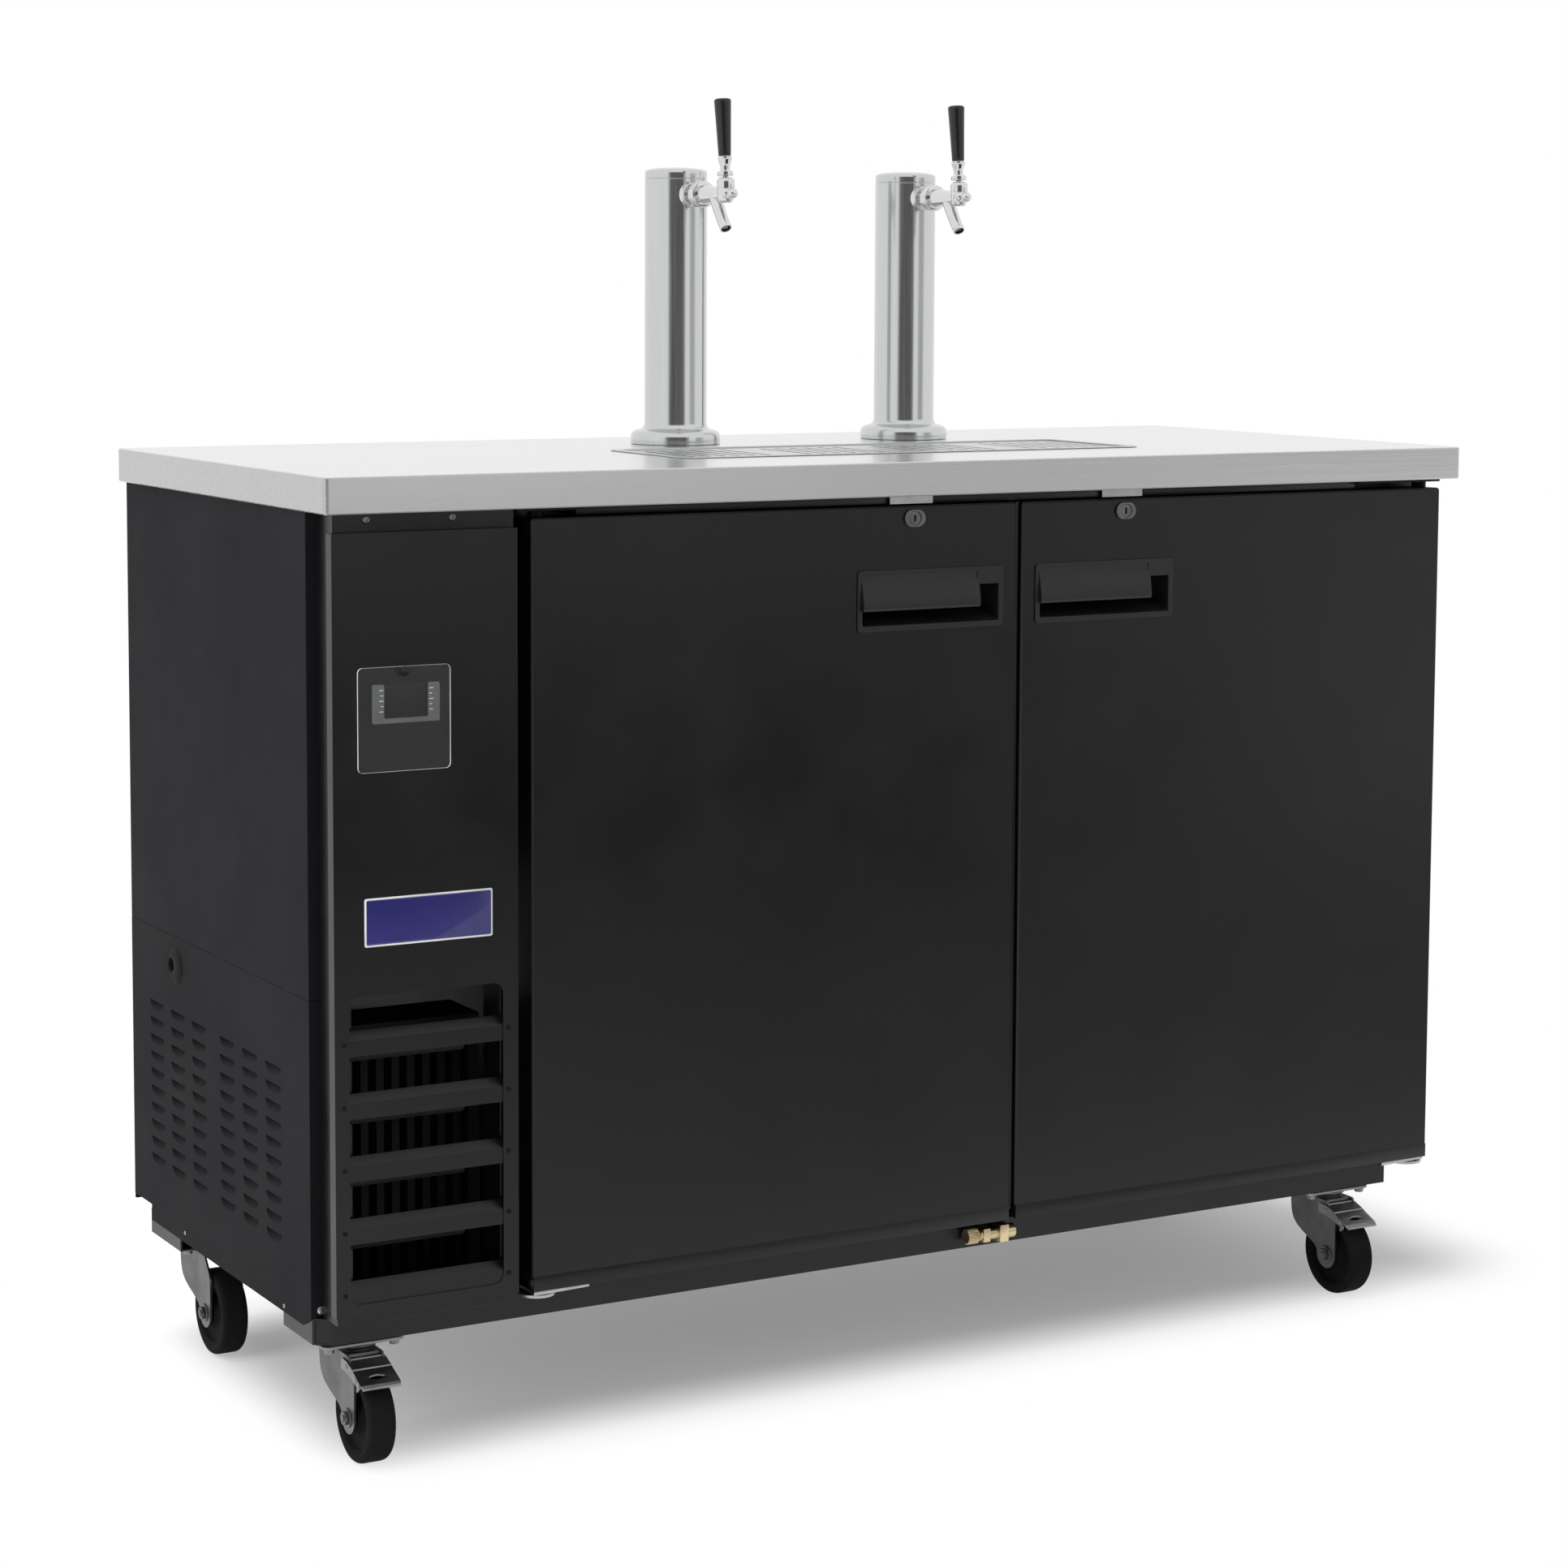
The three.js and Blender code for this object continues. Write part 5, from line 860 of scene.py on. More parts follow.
def caster_wheel(place, x, y):
    """Plastic core in a rubber tyre, both drawn by half and mirrored."""
    data = bmesh.new()
    centre = (x, y - TRAIL, AXLE_Z)
    core = mirrored(WHEEL_CORE)
    turn(data, core + [core[0]], "x", centre, 72, 1)
    band = mirrored(WHEEL_BAND[:-1]) + [WHEEL_BAND[0]]
    turn(data, band, "x", centre, 96, 0)
    keep(
        data, f"tyred_wheel_{place}", [tyre, wheel_core], f"wheel_{place}", (f"caster_wheel_{place}",),
        40,
    )


PEDAL_PATH = (
    (-17.0, 111.0), (-24.0, 112.3), (-34.0, 112.3), (-34.8, 111.0), (-44.0, 108.2), (-50.0, 105.8),
    (-50.8, 104.4), (-60.0, 100.6), (-68.0, 97.0), (-73.0, 94.8), (-77.0, 92.4),
)
PEDAL_FLANGE = (
    (-19.0, 113.4), (-34.0, 112.6), (-46.0, 108.6), (-58.0, 103.0), (-65.0, 99.0), (-68.2, 94.6),
    (-67.4, 89.6), (-63.6, 86.4), (-60.4, 87.4), (-62.6, 90.8), (-60.6, 93.4), (-54.0, 94.4),
    (-45.0, 97.6), (-32.0, 100.6), (-19.0, 101.0),
)
PEDAL_SIDE = ((18.5, -17.2), (19.4, -36.0), (22.2, -52.0), (23.0, -76.4))
PEDAL_HOLE_Y, PEDAL_HOLE_HALF = -63.5, (9.5, 3.6)


def pedal_height(place):
    """Height of the pedal's tread at a distance in front of the kingpin."""
    for (near, high), (far, low) in zip(PEDAL_PATH, PEDAL_PATH[1:]):
        if place >= far:
            share = min(1.0, max(0.0, (place - near) / (far - near)))
            return high + (low - high) * share
    return PEDAL_PATH[-1][1]


def brake_pedal(side_name, x, y):
    """Bent tread with an oval hole, a lip and a riveted flange at each side."""
    data = bmesh.new()
    outline = [(x + out, y + ahead) for out, ahead in PEDAL_SIDE]
    outline += [(x - out, y + ahead) for out, ahead in reversed(PEDAL_SIDE)]
    half_x, half_y = PEDAL_HOLE_HALF
    hole = [(x + half_x * a, y + PEDAL_HOLE_Y + half_y * b) for a, b in circle(0, 0, 1.0, 24)]
    plate(data, [round_corners(outline, 4.0), hole], "z", 0.0, 1.8, 0.4)
    for place_y, _ in PEDAL_PATH:
        whole = list(data.verts) + list(data.edges) + list(data.faces)
        bmesh.ops.bisect_plane(
            data, geom=whole, plane_co=(0, (y + place_y) * MM, 0), plane_no=(0, 1, 0),
        )
    for vertex in data.verts:
        vertex.co.z += pedal_height(vertex.co.y / MM - y) * MM
    rod(data, (x - 21.4, y - 76.6, 93.2), (x + 21.4, y - 76.6, 93.2), 1.9)
    flange = round_corners([(y + a, b) for a, b in PEDAL_FLANGE], 2.4, 3)
    for side in (-1, 1):
        low, high = sorted((side * 21.3, side * 22.6))
        push(data, flange, "x", x + low, x + high)
        dome(data, (x + side * 22.4, y - 58.6, 98.2), "x", side, 3.6, 1.6)
        dome(data, (x + side * 22.4, y - 33.0, 106.4), "x", side, 2.6, 1.2)
    keep(
        data, f"pedal_tread_{side_name}", [zinc], f"pedal_{side_name}", (f"brake_pedal_{side_name}",),
        30,
    )


for end, kingpin_y in KINGPIN_Y.items():
    for hand in ("left", "right"):
        place = f"{end}_{hand}"
        low, high = corners(f"caster_plate_{place}")
        middle = (low[0] + high[0]) / 2
        caster_plate(place, middle, kingpin_y)
        caster_fork(place, middle, kingpin_y, end == "front")
        caster_wheel(place, middle, kingpin_y)
        if end == "front":
            brake_pedal(hand, middle, kingpin_y)


# Beer towers and faucets

TOWERS = {"left": -97.5, "right": 230.9}
TOWER_Y = 145.4
TAP_Z = 1363.7
PIVOT_Y = 18.0
PIVOT_Z = 1372.2
LEAN = Matrix.Rotation(math.radians(5.0), 3, "X").transposed()
COLUMN = (
    (36.8, 1060.3), (54.2, 1060.3), (54.9, 1061.0), (55.0, 1062.0), (55.0, 1069.4), (54.6, 1071.6),
    (53.6, 1073.6), (51.9, 1075.4), (49.6, 1076.6), (47.2, 1077.4), (45.2, 1078.0), (42.4, 1078.6),
    (40.4, 1079.8), (39.2, 1081.4), (38.5, 1083.4), (38.1, 1086.4), (38.1, 1382.6), (37.8, 1383.0),
    (36.6, 1383.0), (36.6, 1060.3),
)
CROWN = (
    (0, 1378.4), (36.2, 1378.4), (36.3, 1383.4), (37.6, 1383.4), (38.1, 1383.9), (38.1, 1390.2),
    (37.9, 1391.6), (37.2, 1392.8), (36.0, 1393.7), (33.6, 1394.6), (28.0, 1395.7), (20.0, 1396.6),
    (10.0, 1397.2), (0, 1397.4),
)


def tower(hand, x):
    """Column with its foot flange, and the crown that closes it."""
    for name, profile, node in (("column", COLUMN, "column"), ("crown", CROWN, "cap")):
        data = bmesh.new()
        turn(data, profile, "z", (x, TOWER_Y, 0), 128)
        keep(
            data, f"{name}_{hand}", [tower_steel], "cabinet", (f"tower_{node}_{hand}",), 30,
        )


BACK_NUT = ((8.4, 111.0), (12.6, 114.6), (12.6, 118.8), (8.4, 118.8))
SHANK_COLLAR = (
    (8.2, 99.2), (13.6, 99.2), (14.4, 100.0), (14.4, 104.6), (15.6, 106.4), (15.6, 107.2), (8.2, 107.2),
)
SHANK_RIB = ((8.5, 0.0), (8.5, 0.5), (7.9, 0.8), (7.9, 1.3))
SHANK_TUBE = (
    [(4.0, 80.0), (8.0, 80.0)] + ribs(85.4, 106.0, 1.6, SHANK_RIB)
    + [(8.5, 107.0), (8.5, 144.0), (4.0, 144.0), (4.0, 80.0)]
)


def shank(hand, x):
    """Threaded tube through the tower's wall, with the nut and the collar that clamp it."""
    data = bmesh.new()
    for profile, segments in ((SHANK_TUBE, 40), (BACK_NUT, 40), (SHANK_COLLAR, 56)):
        turn(data, profile, "y", (x, 0, TAP_Z), segments)
    keep(data, f"threaded_shank_{hand}", [chrome], "cabinet", (f"faucet_shank_{hand}",), 38)


FAUCET_NUT = (
    (0, 85.3), (14.2, 85.3), (15.4, 84.9), (16.0, 84.0), (16.0, 81.8), (15.2, 81.0), (15.2, 80.4),
    (16.0, 79.6), (16.0, 78.0), (15.2, 77.2), (15.2, 76.6), (16.0, 75.8), (16.0, 73.8),
    (15.3, 72.8), (13.6, 72.3), (0, 72.3),
)
FAUCET_BODY = (
    (0, 72.6), (10.8, 72.6), (11.2, 71.6), (11.0, 68.0), (10.4, 62.0), (9.6, 52.0), (8.9, 42.0),
    (8.6, 34.0), (8.6, 24.0), (8.9, 18.0), (8.7, 12.0), (7.6, 9.0), (6.2, 7.8),
)
FAUCET_KNOB = (
    (6.2, 7.8), (4.6, 7.0), (4.3, 6.0), (5.2, 5.0), (6.0, 3.2), (6.2, 1.2), (5.9, -0.8), (5.0, -2.6),
    (3.4, -3.8), (1.6, -4.3), (0, -4.45),
)
FAUCET_BONNET = (
    (0, 1352.6), (6.0, 1352.8), (8.8, 1355.0), (9.8, 1359.0), (10.2, 1364.0), (10.5, 1368.6),
    (10.2, 1369.2), (10.2, 1369.9), (10.6, 1370.5), (10.6, 1378.6), (10.2, 1380.2), (9.2, 1381.6),
    (7.6, 1382.5), (4.2, 1382.6), (4.0, 1380.6), (0, 1380.4),
)
SPOUT_STEPS = 18
SPOUT_LIP = ((6.9, 0.5), (5.6, 0.4), (5.2, -2.0), (5.0, -9.0))


def spout(data, x):
    """Bent tube that narrows, with a rounded lip and the start of its bore."""
    start = Vector((x, PIVOT_Y + 25.0, TAP_Z - 2.0))
    bend = Vector((x, PIVOT_Y + 21.0, TAP_Z - 15.0))
    end = Vector((x, PIVOT_Y - 0.8, TAP_Z - 41.2))
    route = bent(start, bend, end, SPOUT_STEPS)
    radii = [8.2 - min(1.0, step / SPOUT_STEPS * 1.6) for step in range(SPOUT_STEPS + 1)]
    rings = sweep(data, route, radii, 40, caps=False)
    direction = (route[-1] - route[-2]).normalized()
    out = [(vertex.co / MM - route[-1]).normalized() for vertex in rings[-1]]
    mouth = [rings[-1]]
    for radius, ahead in SPOUT_LIP:
        middle = route[-1] + direction * ahead
        mouth.append([data.verts.new((middle + way * radius) * MM) for way in out])
    bridge(data, mouth)
    add_face(data, mouth[-1])
    add_face(data, rings[0])


def faucet(hand, x):
    """Coupling nut, body, knob in front and bonnet, with the spout below."""
    data = bmesh.new()
    for profile, segments in ((FAUCET_NUT, 72), (FAUCET_BODY, 56), (FAUCET_KNOB, 48)):
        turn(data, profile, "y", (x, 0, TAP_Z), segments)
    turn(data, FAUCET_BONNET, "z", (x, PIVOT_Y, 0), 56)
    spout(data, x)
    keep(data, f"faucet_{hand}", [chrome], "cabinet", (f"faucet_body_{hand}",), 32)


LEVER = (
    (0, -6.4), (3.4, -5.6), (5.6, -3.2), (6.5, 0.0), (5.8, 3.0), (4.2, 5.2), (3.2, 6.4), (3.1, 11.4),
    (4.0, 12.0), (8.6, 12.0), (9.5, 12.8), (9.5, 16.9), (8.6, 17.9), (6.4, 18.1), (5.8, 18.8),
    (5.8, 23.0), (6.2, 25.6), (7.2, 28.6), (8.1, 31.4), (8.6, 33.6), (8.6, 35.0), (8.2, 35.5), (0, 35.5),
)
HANDLE = (
    (0, 35.8), (6.6, 35.8), (7.3, 36.4), (7.6, 37.4), (7.8, 42.0), (8.3, 54.0), (9.0, 72.0), (9.6, 86.0),
    (10.1, 97.0), (10.3, 100.6), (10.2, 102.0), (9.6, 103.2), (8.4, 103.9), (5.0, 104.2), (0, 104.3),
)


def tap(hand, x):
    """Lever with its ball and ferrule, and the handle on it, both leaning a little."""
    for name, profile, material, slot in (
        ("lever", LEVER, chrome, "polished"), ("handle", HANDLE, gloss_plastic, "black_plastic"),
    ):
        data = bmesh.new()
        turn(data, profile, "z", (x, PIVOT_Y, PIVOT_Z), 56, lean=LEAN)
        keep(data, f"{name}_{hand}", [material], f"tap_{hand}", (f"tap_{name}_{hand}",), 32)


for hand, x in TOWERS.items():
    tower(hand, x)
    shank(hand, x)
    faucet(hand, x)
    tap(hand, x)


# Drip grate and drain valve

GRATE_GROUPS, GRATE_GROUP_PITCH = 4, 155.0
GRATE_SLOTS, GRATE_SLOT_PITCH = 6, 20.0
SLOT_HALF_WIDTH, SLOT_HALF_LENGTH = 2.9, 63.4
GRATE_EDGE = 0.4


def drip_grate():
    """Plate pierced by groups of slots, the walls of the slots dark: painted shade in the slots."""
    low, high = corners("drip_grate")
    loops = [inset_rectangle((low[0], high[0], low[1], high[1]), GRATE_EDGE, 6.6)]
    middle_x, middle_y = (low[0] + high[0]) / 2, (low[1] + high[1]) / 2
    for group in range(GRATE_GROUPS):
        for slot in range(GRATE_SLOTS):
            group_x = (group - (GRATE_GROUPS - 1) / 2) * GRATE_GROUP_PITCH
            x = middle_x + group_x + (slot - (GRATE_SLOTS - 1) / 2) * GRATE_SLOT_PITCH
            loops.append(centred_rectangle(x, middle_y, SLOT_HALF_WIDTH, SLOT_HALF_LENGTH, 2.88))
    grate = pierced(loops, "z", low[2], high[2], GRATE_EDGE)
    # Upright faces, the walls of the slots, take the dark paint as painted shade.
    for face in grate.polygons:
        face.material_index = 1 if abs(face.normal.z) < 0.5 else 0
    keep_mesh(
        grate, "slotted_grate", [tray_steel, dark_paint_and_shade], "drip_grate", ("drip_grate",), 32,
    )


VALVE_Y, VALVE_Z = -282.0, 147.0
OUTLET_X = 96.0
VALVE_BLOCKS = ((83.0, 93.0, 8.2, 8.2, 1.2), (105.2, 117.8, 9.6, 10.4, 1.4))
VALVE_KNOB = ((0, 63.0), (8.6, 63.0), (9.4, 63.8), (9.4, 77.0), (8.8, 77.8), (0, 77.8))
VALVE_STEM = (
    (0, 77.6), (5.4, 77.6), (5.4, 80.0), (7.0, 81.6), (7.4, 84.0), (7.4, 104.0), (7.0, 105.4), (0, 105.4),
)
VALVE_MOUTH = (
    (0, 117.6), (7.6, 117.6), (8.4, 118.4), (8.4, 128.2), (7.8, 129.0), (6.2, 129.0), (5.8, 128.2),
    (5.6, 120.0), (0, 120.0),
)
OUTLET_WIDE = ((0, -282.0), (7.0, -282.0), (7.0, -270.6), (0, -270.6))
OUTLET_NARROW = ((0, -271.0), (5.0, -271.0), (5.0, -262.2), (0, -262.2))


def drain_valve():
    """Knurled knob, stem with two square blocks on it, open mouth and the outlet to the back."""
    data = bmesh.new()
    middle = (0, VALVE_Y, VALVE_Z)
    turn(data, VALVE_KNOB, "x", middle, 144, teeth=30, tooth=0.7)
    for profile in (VALVE_STEM, VALVE_MOUTH):
        turn(data, profile, "x", middle, 48)
    for start, end, half_y, half_z, radius in VALVE_BLOCKS:
        low = (start, VALVE_Y - half_y, VALVE_Z - half_z)
        brick(data, low, (end, VALVE_Y + half_y, VALVE_Z + half_z), radius)
    turn(data, OUTLET_WIDE, "y", (OUTLET_X, 0, VALVE_Z), 40)
    turn(data, OUTLET_NARROW, "y", (OUTLET_X, 0, VALVE_Z), 32)
    keep(data, "brass_drain_valve", [brass], "cabinet", ("drain_valve",), 32)


drip_grate()
drain_valve()


# Door furniture

FACE_Y = -308.5
LOCK_Z = 995.2
LOCK_X = {"left": -32.0, "right": 257.5}
GRIP_X = {"left": (-106.4, 87.6), "right": (132.1, 326.1)}
GRIP_Z = (868.5, 937.5)
HOOD = (
    (-310.1, 5.4), (-310.5, 10.0), (-311.4, 16.0), (-312.8, 23.0), (-314.3, 30.0), (-315.3, 36.0),
    (-315.7, 40.0), (-315.6, 42.6), (-314.9, 44.4), (-313.7, 45.5), (-312.2, 45.7), (-311.3, 44.8),
    (-311.3, 42.6), (-310.6, 34.0), (-309.6, 22.0), (-308.9, 5.4),
)
TUB_FRONT, TUB_BACK, TUB_WALL = -309.6, -274.5, 2.0
GRIP_FRAME_Y = (-310.4, -308.8)
GRIP_FRAME = 4.9
GRIP_EDGE = 0.7
HOOD_SHORT = 33.7


def open_tub(data, left, right, low, high):
    """Five walls round a pocket that is open at the front."""
    rings = []
    for grow, y in ((TUB_WALL, TUB_BACK + TUB_WALL), (TUB_WALL, TUB_FRONT), (0, TUB_FRONT), (0, TUB_BACK)):
        x0, x1, z0, z1 = left - grow, right + grow, low - grow, high + grow
        border = ((x0, y, z0), (x1, y, z0), (x1, y, z1), (x0, y, z1))
        rings.append([data.verts.new(Vector(spot) * MM) for spot in border])
    bridge(data, rings)
    add_face(data, rings[0])
    add_face(data, rings[-1])


def door_grip(hand):
    """Frame, tub and hood of the recessed grip; the hood leaves the right end open."""
    left, right = GRIP_X[hand]
    low, high = GRIP_Z
    hood_right = right - HOOD_SHORT
    data = bmesh.new()
    loops = []
    for inset, radius in ((GRIP_EDGE, 3.6), (GRIP_EDGE + GRIP_FRAME, 2.6)):
        loops.append(inset_rectangle((left, right, low, high), inset, radius))
    plate(data, loops, "y", *GRIP_FRAME_Y, GRIP_EDGE)
    open_tub(data, left + 6, right - 6, low + 6, high - 6)
    push(data, [(y, high - fall) for y, fall in HOOD], "x", left + 5.2, hood_right)
    brick(data, (hood_right - 1.0, -310.4, low + 48.8), (right - 5.2, -308.9, high - 5.2), 0.5)
    brick(data, (hood_right - 2.0, -311.6, low + 23.4), (hood_right, -309.0, high - 6.0), 0.6)
    slope = [(-309.4, low + 5.8), (-309.4, low + 6.6), (-277.0, low + 21.0), (-277.0, low + 5.8)]
    push(data, slope, "x", left + 5.8, right - 5.8)
    screw(data, (right - 19.0, -274.4, low + 33.0), "y", -1, 4.0, 2.2)
    keep(
        data, f"grip_shell_{hand}", [black_plastic], f"door_{hand}", (f"door_grip_{hand}",),
        32, (0.5, 2),
    )


LOCK_RING_HALF, KEYWAY_HALF = (13.1, 9.1), (1.7, 4.2)
LOCK_RING_Y, LOCK_FACE_Y, LOCK_CAM_Y = (-311.3, -308.6), (-310.6, -309.2), (-298.5, -296.0)
PLUG = ((0, -309.3), (7.4, -309.3), (7.6, -308.6), (7.6, -298.4), (0, -298.4))


def door_lock(hand):
    """Ring on the door, and the plug with its keyway and cam, which turns."""
    x = LOCK_X[hand]
    data = bmesh.new()
    border = centred_rectangle(x, LOCK_Z, *LOCK_RING_HALF, 8.9, 12)
    plate(data, [border, circle(x, LOCK_Z, 8.5, 24)], "y", *LOCK_RING_Y, 0.6)
    keep(data, f"lock_ring_{hand}", [darker_zinc], f"door_{hand}", (), 32)
    data = bmesh.new()
    keyway = centred_rectangle(x, LOCK_Z, *KEYWAY_HALF, 1.5, 3)
    plate(data, [circle(x, LOCK_Z, 7.2, 36), keyway], "y", *LOCK_FACE_Y, 0.4)
    turn(data, PLUG, "y", (x, 0, LOCK_Z), 40)
    brick(data, (x - 2.6, -309.6, LOCK_Z - 5.2), (x + 2.6, -309.25, LOCK_Z + 5.2), 0.1, 1, 1)
    cam = round_rectangle(x - 22.0, x + 4.5, LOCK_Z - 4.5, LOCK_Z + 4.5, 3.4)
    push(data, cam, "y", *LOCK_CAM_Y)
    keep(data, f"lock_plug_{hand}", [darker_zinc, rubber], f"lock_{hand}", (f"lock_{hand}",), 32)


def door_pan(hand):
    """Pressed inner panel of the door, inside the ring of its gasket."""
    low, high = corners(f"door_gasket_{hand}")
    data = bmesh.new()
    sides = (low[0], high[0], low[2], high[2])
    plate(data, [inset_rectangle(sides, 18, 14.0)], "y", -262.6, -261.0, 0.7)
    plate(data, [inset_rectangle(sides, 46, 20.0)], "y", -261.4, -259.6, 0.8)
    keep(data, f"door_pan_{hand}", [liner_steel], f"door_{hand}", (), 32)


FOOT_LOW = 168.2
HINGE_Y = -286.8
LEAF_LENGTH = 68.0


def door_foot(hand):
    """Folded lower edge of the door in front of its hinge, the hinge's leaf and its nut."""
    low, high = corners(f"door_{hand}")
    left, right = low[0] + 0.8, high[0] - 0.8
    leaf_left = left + 1.0 if hand == "left" else right - 1.0 - LEAF_LENGTH
    leaf_right = leaf_left + LEAF_LENGTH
    free = (leaf_right + 2.0, right) if hand == "left" else (left, leaf_left - 2.0)
    data = bmesh.new()
    brick(data, (left, FACE_Y - 0.12, FOOT_LOW), (right, FACE_Y + 1.5, low[2] + 6.0), 0.1)
    brick(data, (free[0], FACE_Y + 0.2, FOOT_LOW + 0.1), (free[1], -266.9, low[2] + 3.2), 0.2)
    keep(data, f"door_foot_{hand}", [black_front], f"door_{hand}", (), 30)
    data = bmesh.new()
    sheet = [
        (leaf_left, FACE_Y + 0.4), (leaf_right, FACE_Y + 5.0), (leaf_right, HINGE_Y + 14.0),
        (leaf_left, HINGE_Y + 14.0),
    ]
    pivot = low[0] + 15.4 if hand == "left" else high[0] - 15.4
    plate(data, [sheet, circle(pivot, HINGE_Y, 10.2, 24)], "z", 164.0, 168.1, 0.4)
    keep(data, f"hinge_leaf_{hand}", [bright_zinc], f"door_{hand}", (), 30)
    data = bmesh.new()
    hexagon(data, (pivot + 13.0, HINGE_Y - 8.0, 0.0), "z", 162.9, 163.9, 7.4, 0.3)
    keep(data, f"hinge_nut_{hand}", [bright_zinc], "cabinet", (), 30)


def door_frame():
    """Painted strips that stand behind the gap between the doors and the gap above them."""
    data = bmesh.new()
    split_left, split_right = corners("door_left")[1][0], corners("door_right")[0][0]
    door_low, door_high = corners("door_left")[0][2], corners("door_left")[1][2]
    brick(data, (split_left + 1.2, -303.0, door_low), (split_right - 1.2, -256.0, door_high), 0.6)
    top = corners("cabinet_shell")[1][2]
    stops = [corners("top_hinge_left")[1][0]]
    for hand in ("left", "right"):
        low, high = corners(f"lock_strike_{hand}")
        stops += [low[0], high[0]]
    stops.append(corners("top_hinge_right")[0][0])
    for start, end in zip(stops[::2], stops[1::2]):
        brick(data, (start + 1.0, -299.0, door_high + 1.6), (end - 1.0, -256.0, top - 0.1), 0.6)
    keep(data, "door_stops", [black_front], "cabinet", (), 30)


door_frame()
for hand in ("left", "right"):
    door_grip(hand)
    door_lock(hand)
    door_pan(hand)
    door_foot(hand)


# Controller, its clear cover and the badge plate

PANEL_Y = -315.0
SCREW_X, SCREW_Z = -662.0, 855.0
TICKS, TICK_PITCH = 5, 5.6
COVER_EDGE = 0.3
BADGE = (-706.0, -559.9, 566.8, 617.6)
BADGE_BORDER = 2.0


def controller_face():
    """U-shaped bezel with a row of ticks on each arm, round a dark window."""
    low, high = corners("controller")
    left, right, bottom, top = low[0], high[0], low[2], high[2]
    inside_left, inside_right, inside_bottom = left + 13.0, right - 13.0, bottom + 5.0
    data = bmesh.new()
    bezel = [
        (left, bottom), (right, bottom), (right, top), (inside_right, top), (inside_right, inside_bottom),
        (inside_left, inside_bottom), (inside_left, top), (left, top),
    ]
    push(data, round_corners(bezel, 2.2), "y", low[1], PANEL_Y - 0.3)
    brick(data, (left + 13.2, -316.9, bottom + 5.2), (right - 13.2, -315.4, top - 0.4), 0.4, 2, 1)
    brick(data, (left + 3.4, -315.6, bottom + 3.4), (right - 3.4, high[1], top - 3.4), 1.6, 3, 2)
    front, back = low[1] - 0.18, low[1] + 0.3
    for side, inner in ((-1, left + 12.0), (1, right - 12.0)):
        for tick in range(TICKS):
            start, end = sorted((inner, inner + side * (3.0 if tick % 2 else 4.6)))
            z = bottom + 12.5 + tick * TICK_PITCH
            brick(data, (start, front, z - 0.4), (end, back, z + 0.4), 0.12, 1, 3)
    keep(
        data, "controller_face", [grey_plastic, window, black_plastic, white_plastic_and_edge_highlight], "cabinet",
        ("controller",), 32, (0.4, 2),
    )


def controller_cover():
    """Clear sheet with its edges painted pale as a painted highlight, and the cap of the screw that it
    hangs from.
    """
    low, high = corners("controller_cover")
    outline = inset_rectangle((low[0], high[0], low[2], high[2]), COVER_EDGE, 5.0)
    cover = pierced([outline, circle(SCREW_X, SCREW_Z, 3.6, 18)], "y", low[1], high[1], COVER_EDGE)
    # Faces round the sheet's border take the white material: painted highlight on the clear edges.
    for face in cover.polygons:
        face.material_index = 1 if abs(face.normal.y) < 0.8 else 0
    keep_mesh(
        cover, "clear_cover", [clear, white_plastic_and_edge_highlight], "controller_cover", ("controller_cover",),
        30,
    )
    data = bmesh.new()
    screw(data, (SCREW_X, -321.9, SCREW_Z), "y", -1, 6.2, 0.55, cross=False)
    keep(data, "cover_screw_cap", [window], "cabinet", (), 30)


def badge():
    """Blank blue plate with a pale border."""
    data = bmesh.new()
    plate(data, [inset_rectangle(BADGE, 0.0, 2.0)], "y", -316.1, PANEL_Y, 0.4)
    keep(data, "badge_plate", [white_plastic_and_edge_highlight], "cabinet", (), 30)
    data = bmesh.new()
    plate(data, [inset_rectangle(BADGE, BADGE_BORDER, 1.4)], "y", -316.6, -315.8, 0.3)
    keep(data, "badge_field", [blue_enamel], "cabinet", (), 30)


controller_face()
controller_cover()
badge()


# Fasteners and small fittings on the cabinet

RIVET_ROWS, RIVET_TOP, RIVET_PITCH = 5, 464.7, 67.0
RIVET_COLUMNS = (-730.0, -541.0)
FRAME_SCREWS = ((-695.6, 0.5), (-598.0, 0.1))
PANEL_SCREWS = ((-178.0, 153.0), (132.0, 158.0))
WELD_Z = 1042.0
WELD_PLACES = (188.0, 155.0, -151.0, -183.0)
WELD_MARK = ((0, -749.6), (5.4, -749.6), (5.4, -750.04), (4.0, -750.06), (3.4, -749.9), (0, -749.92))


def fasteners():
    """Rivets of the blades, screws with each its own turn, and the worktop's weld marks."""
    data = bmesh.new()
    for row in range(RIVET_ROWS):
        for x in RIVET_COLUMNS:
            dome(data, (x, PANEL_Y, RIVET_TOP - RIVET_PITCH * row), "y", -1, 2.7, 1.5)
    keep(data, "blade_rivets", [black_side], "cabinet", (), 40)
    data = bmesh.new()
    for x, spin in FRAME_SCREWS:
        screw(data, (x, -300.0, 1013.6), "y", -1, 4.2, 2.4, spin=spin)
    keep(data, "frame_screws", [zinc], "cabinet", (), 32)
    data = bmesh.new()
    screw(data, (-733.6, -255.0, 166.6), "y", -1, 4.8, 2.6, spin=0.9)
    for y, z in PANEL_SCREWS:
        screw(data, (-745.0, y, z), "x", -1, 2.4, 1.3, spin=0.4)
    keep(data, "panel_screws", [bright_zinc], "cabinet", (), 32)
    data = bmesh.new()
    for y in WELD_PLACES:
        turn(data, WELD_MARK, "x", (0, y, WELD_Z), 32)
    keep(data, "weld_marks", [tray_steel], "cabinet", (), 40)


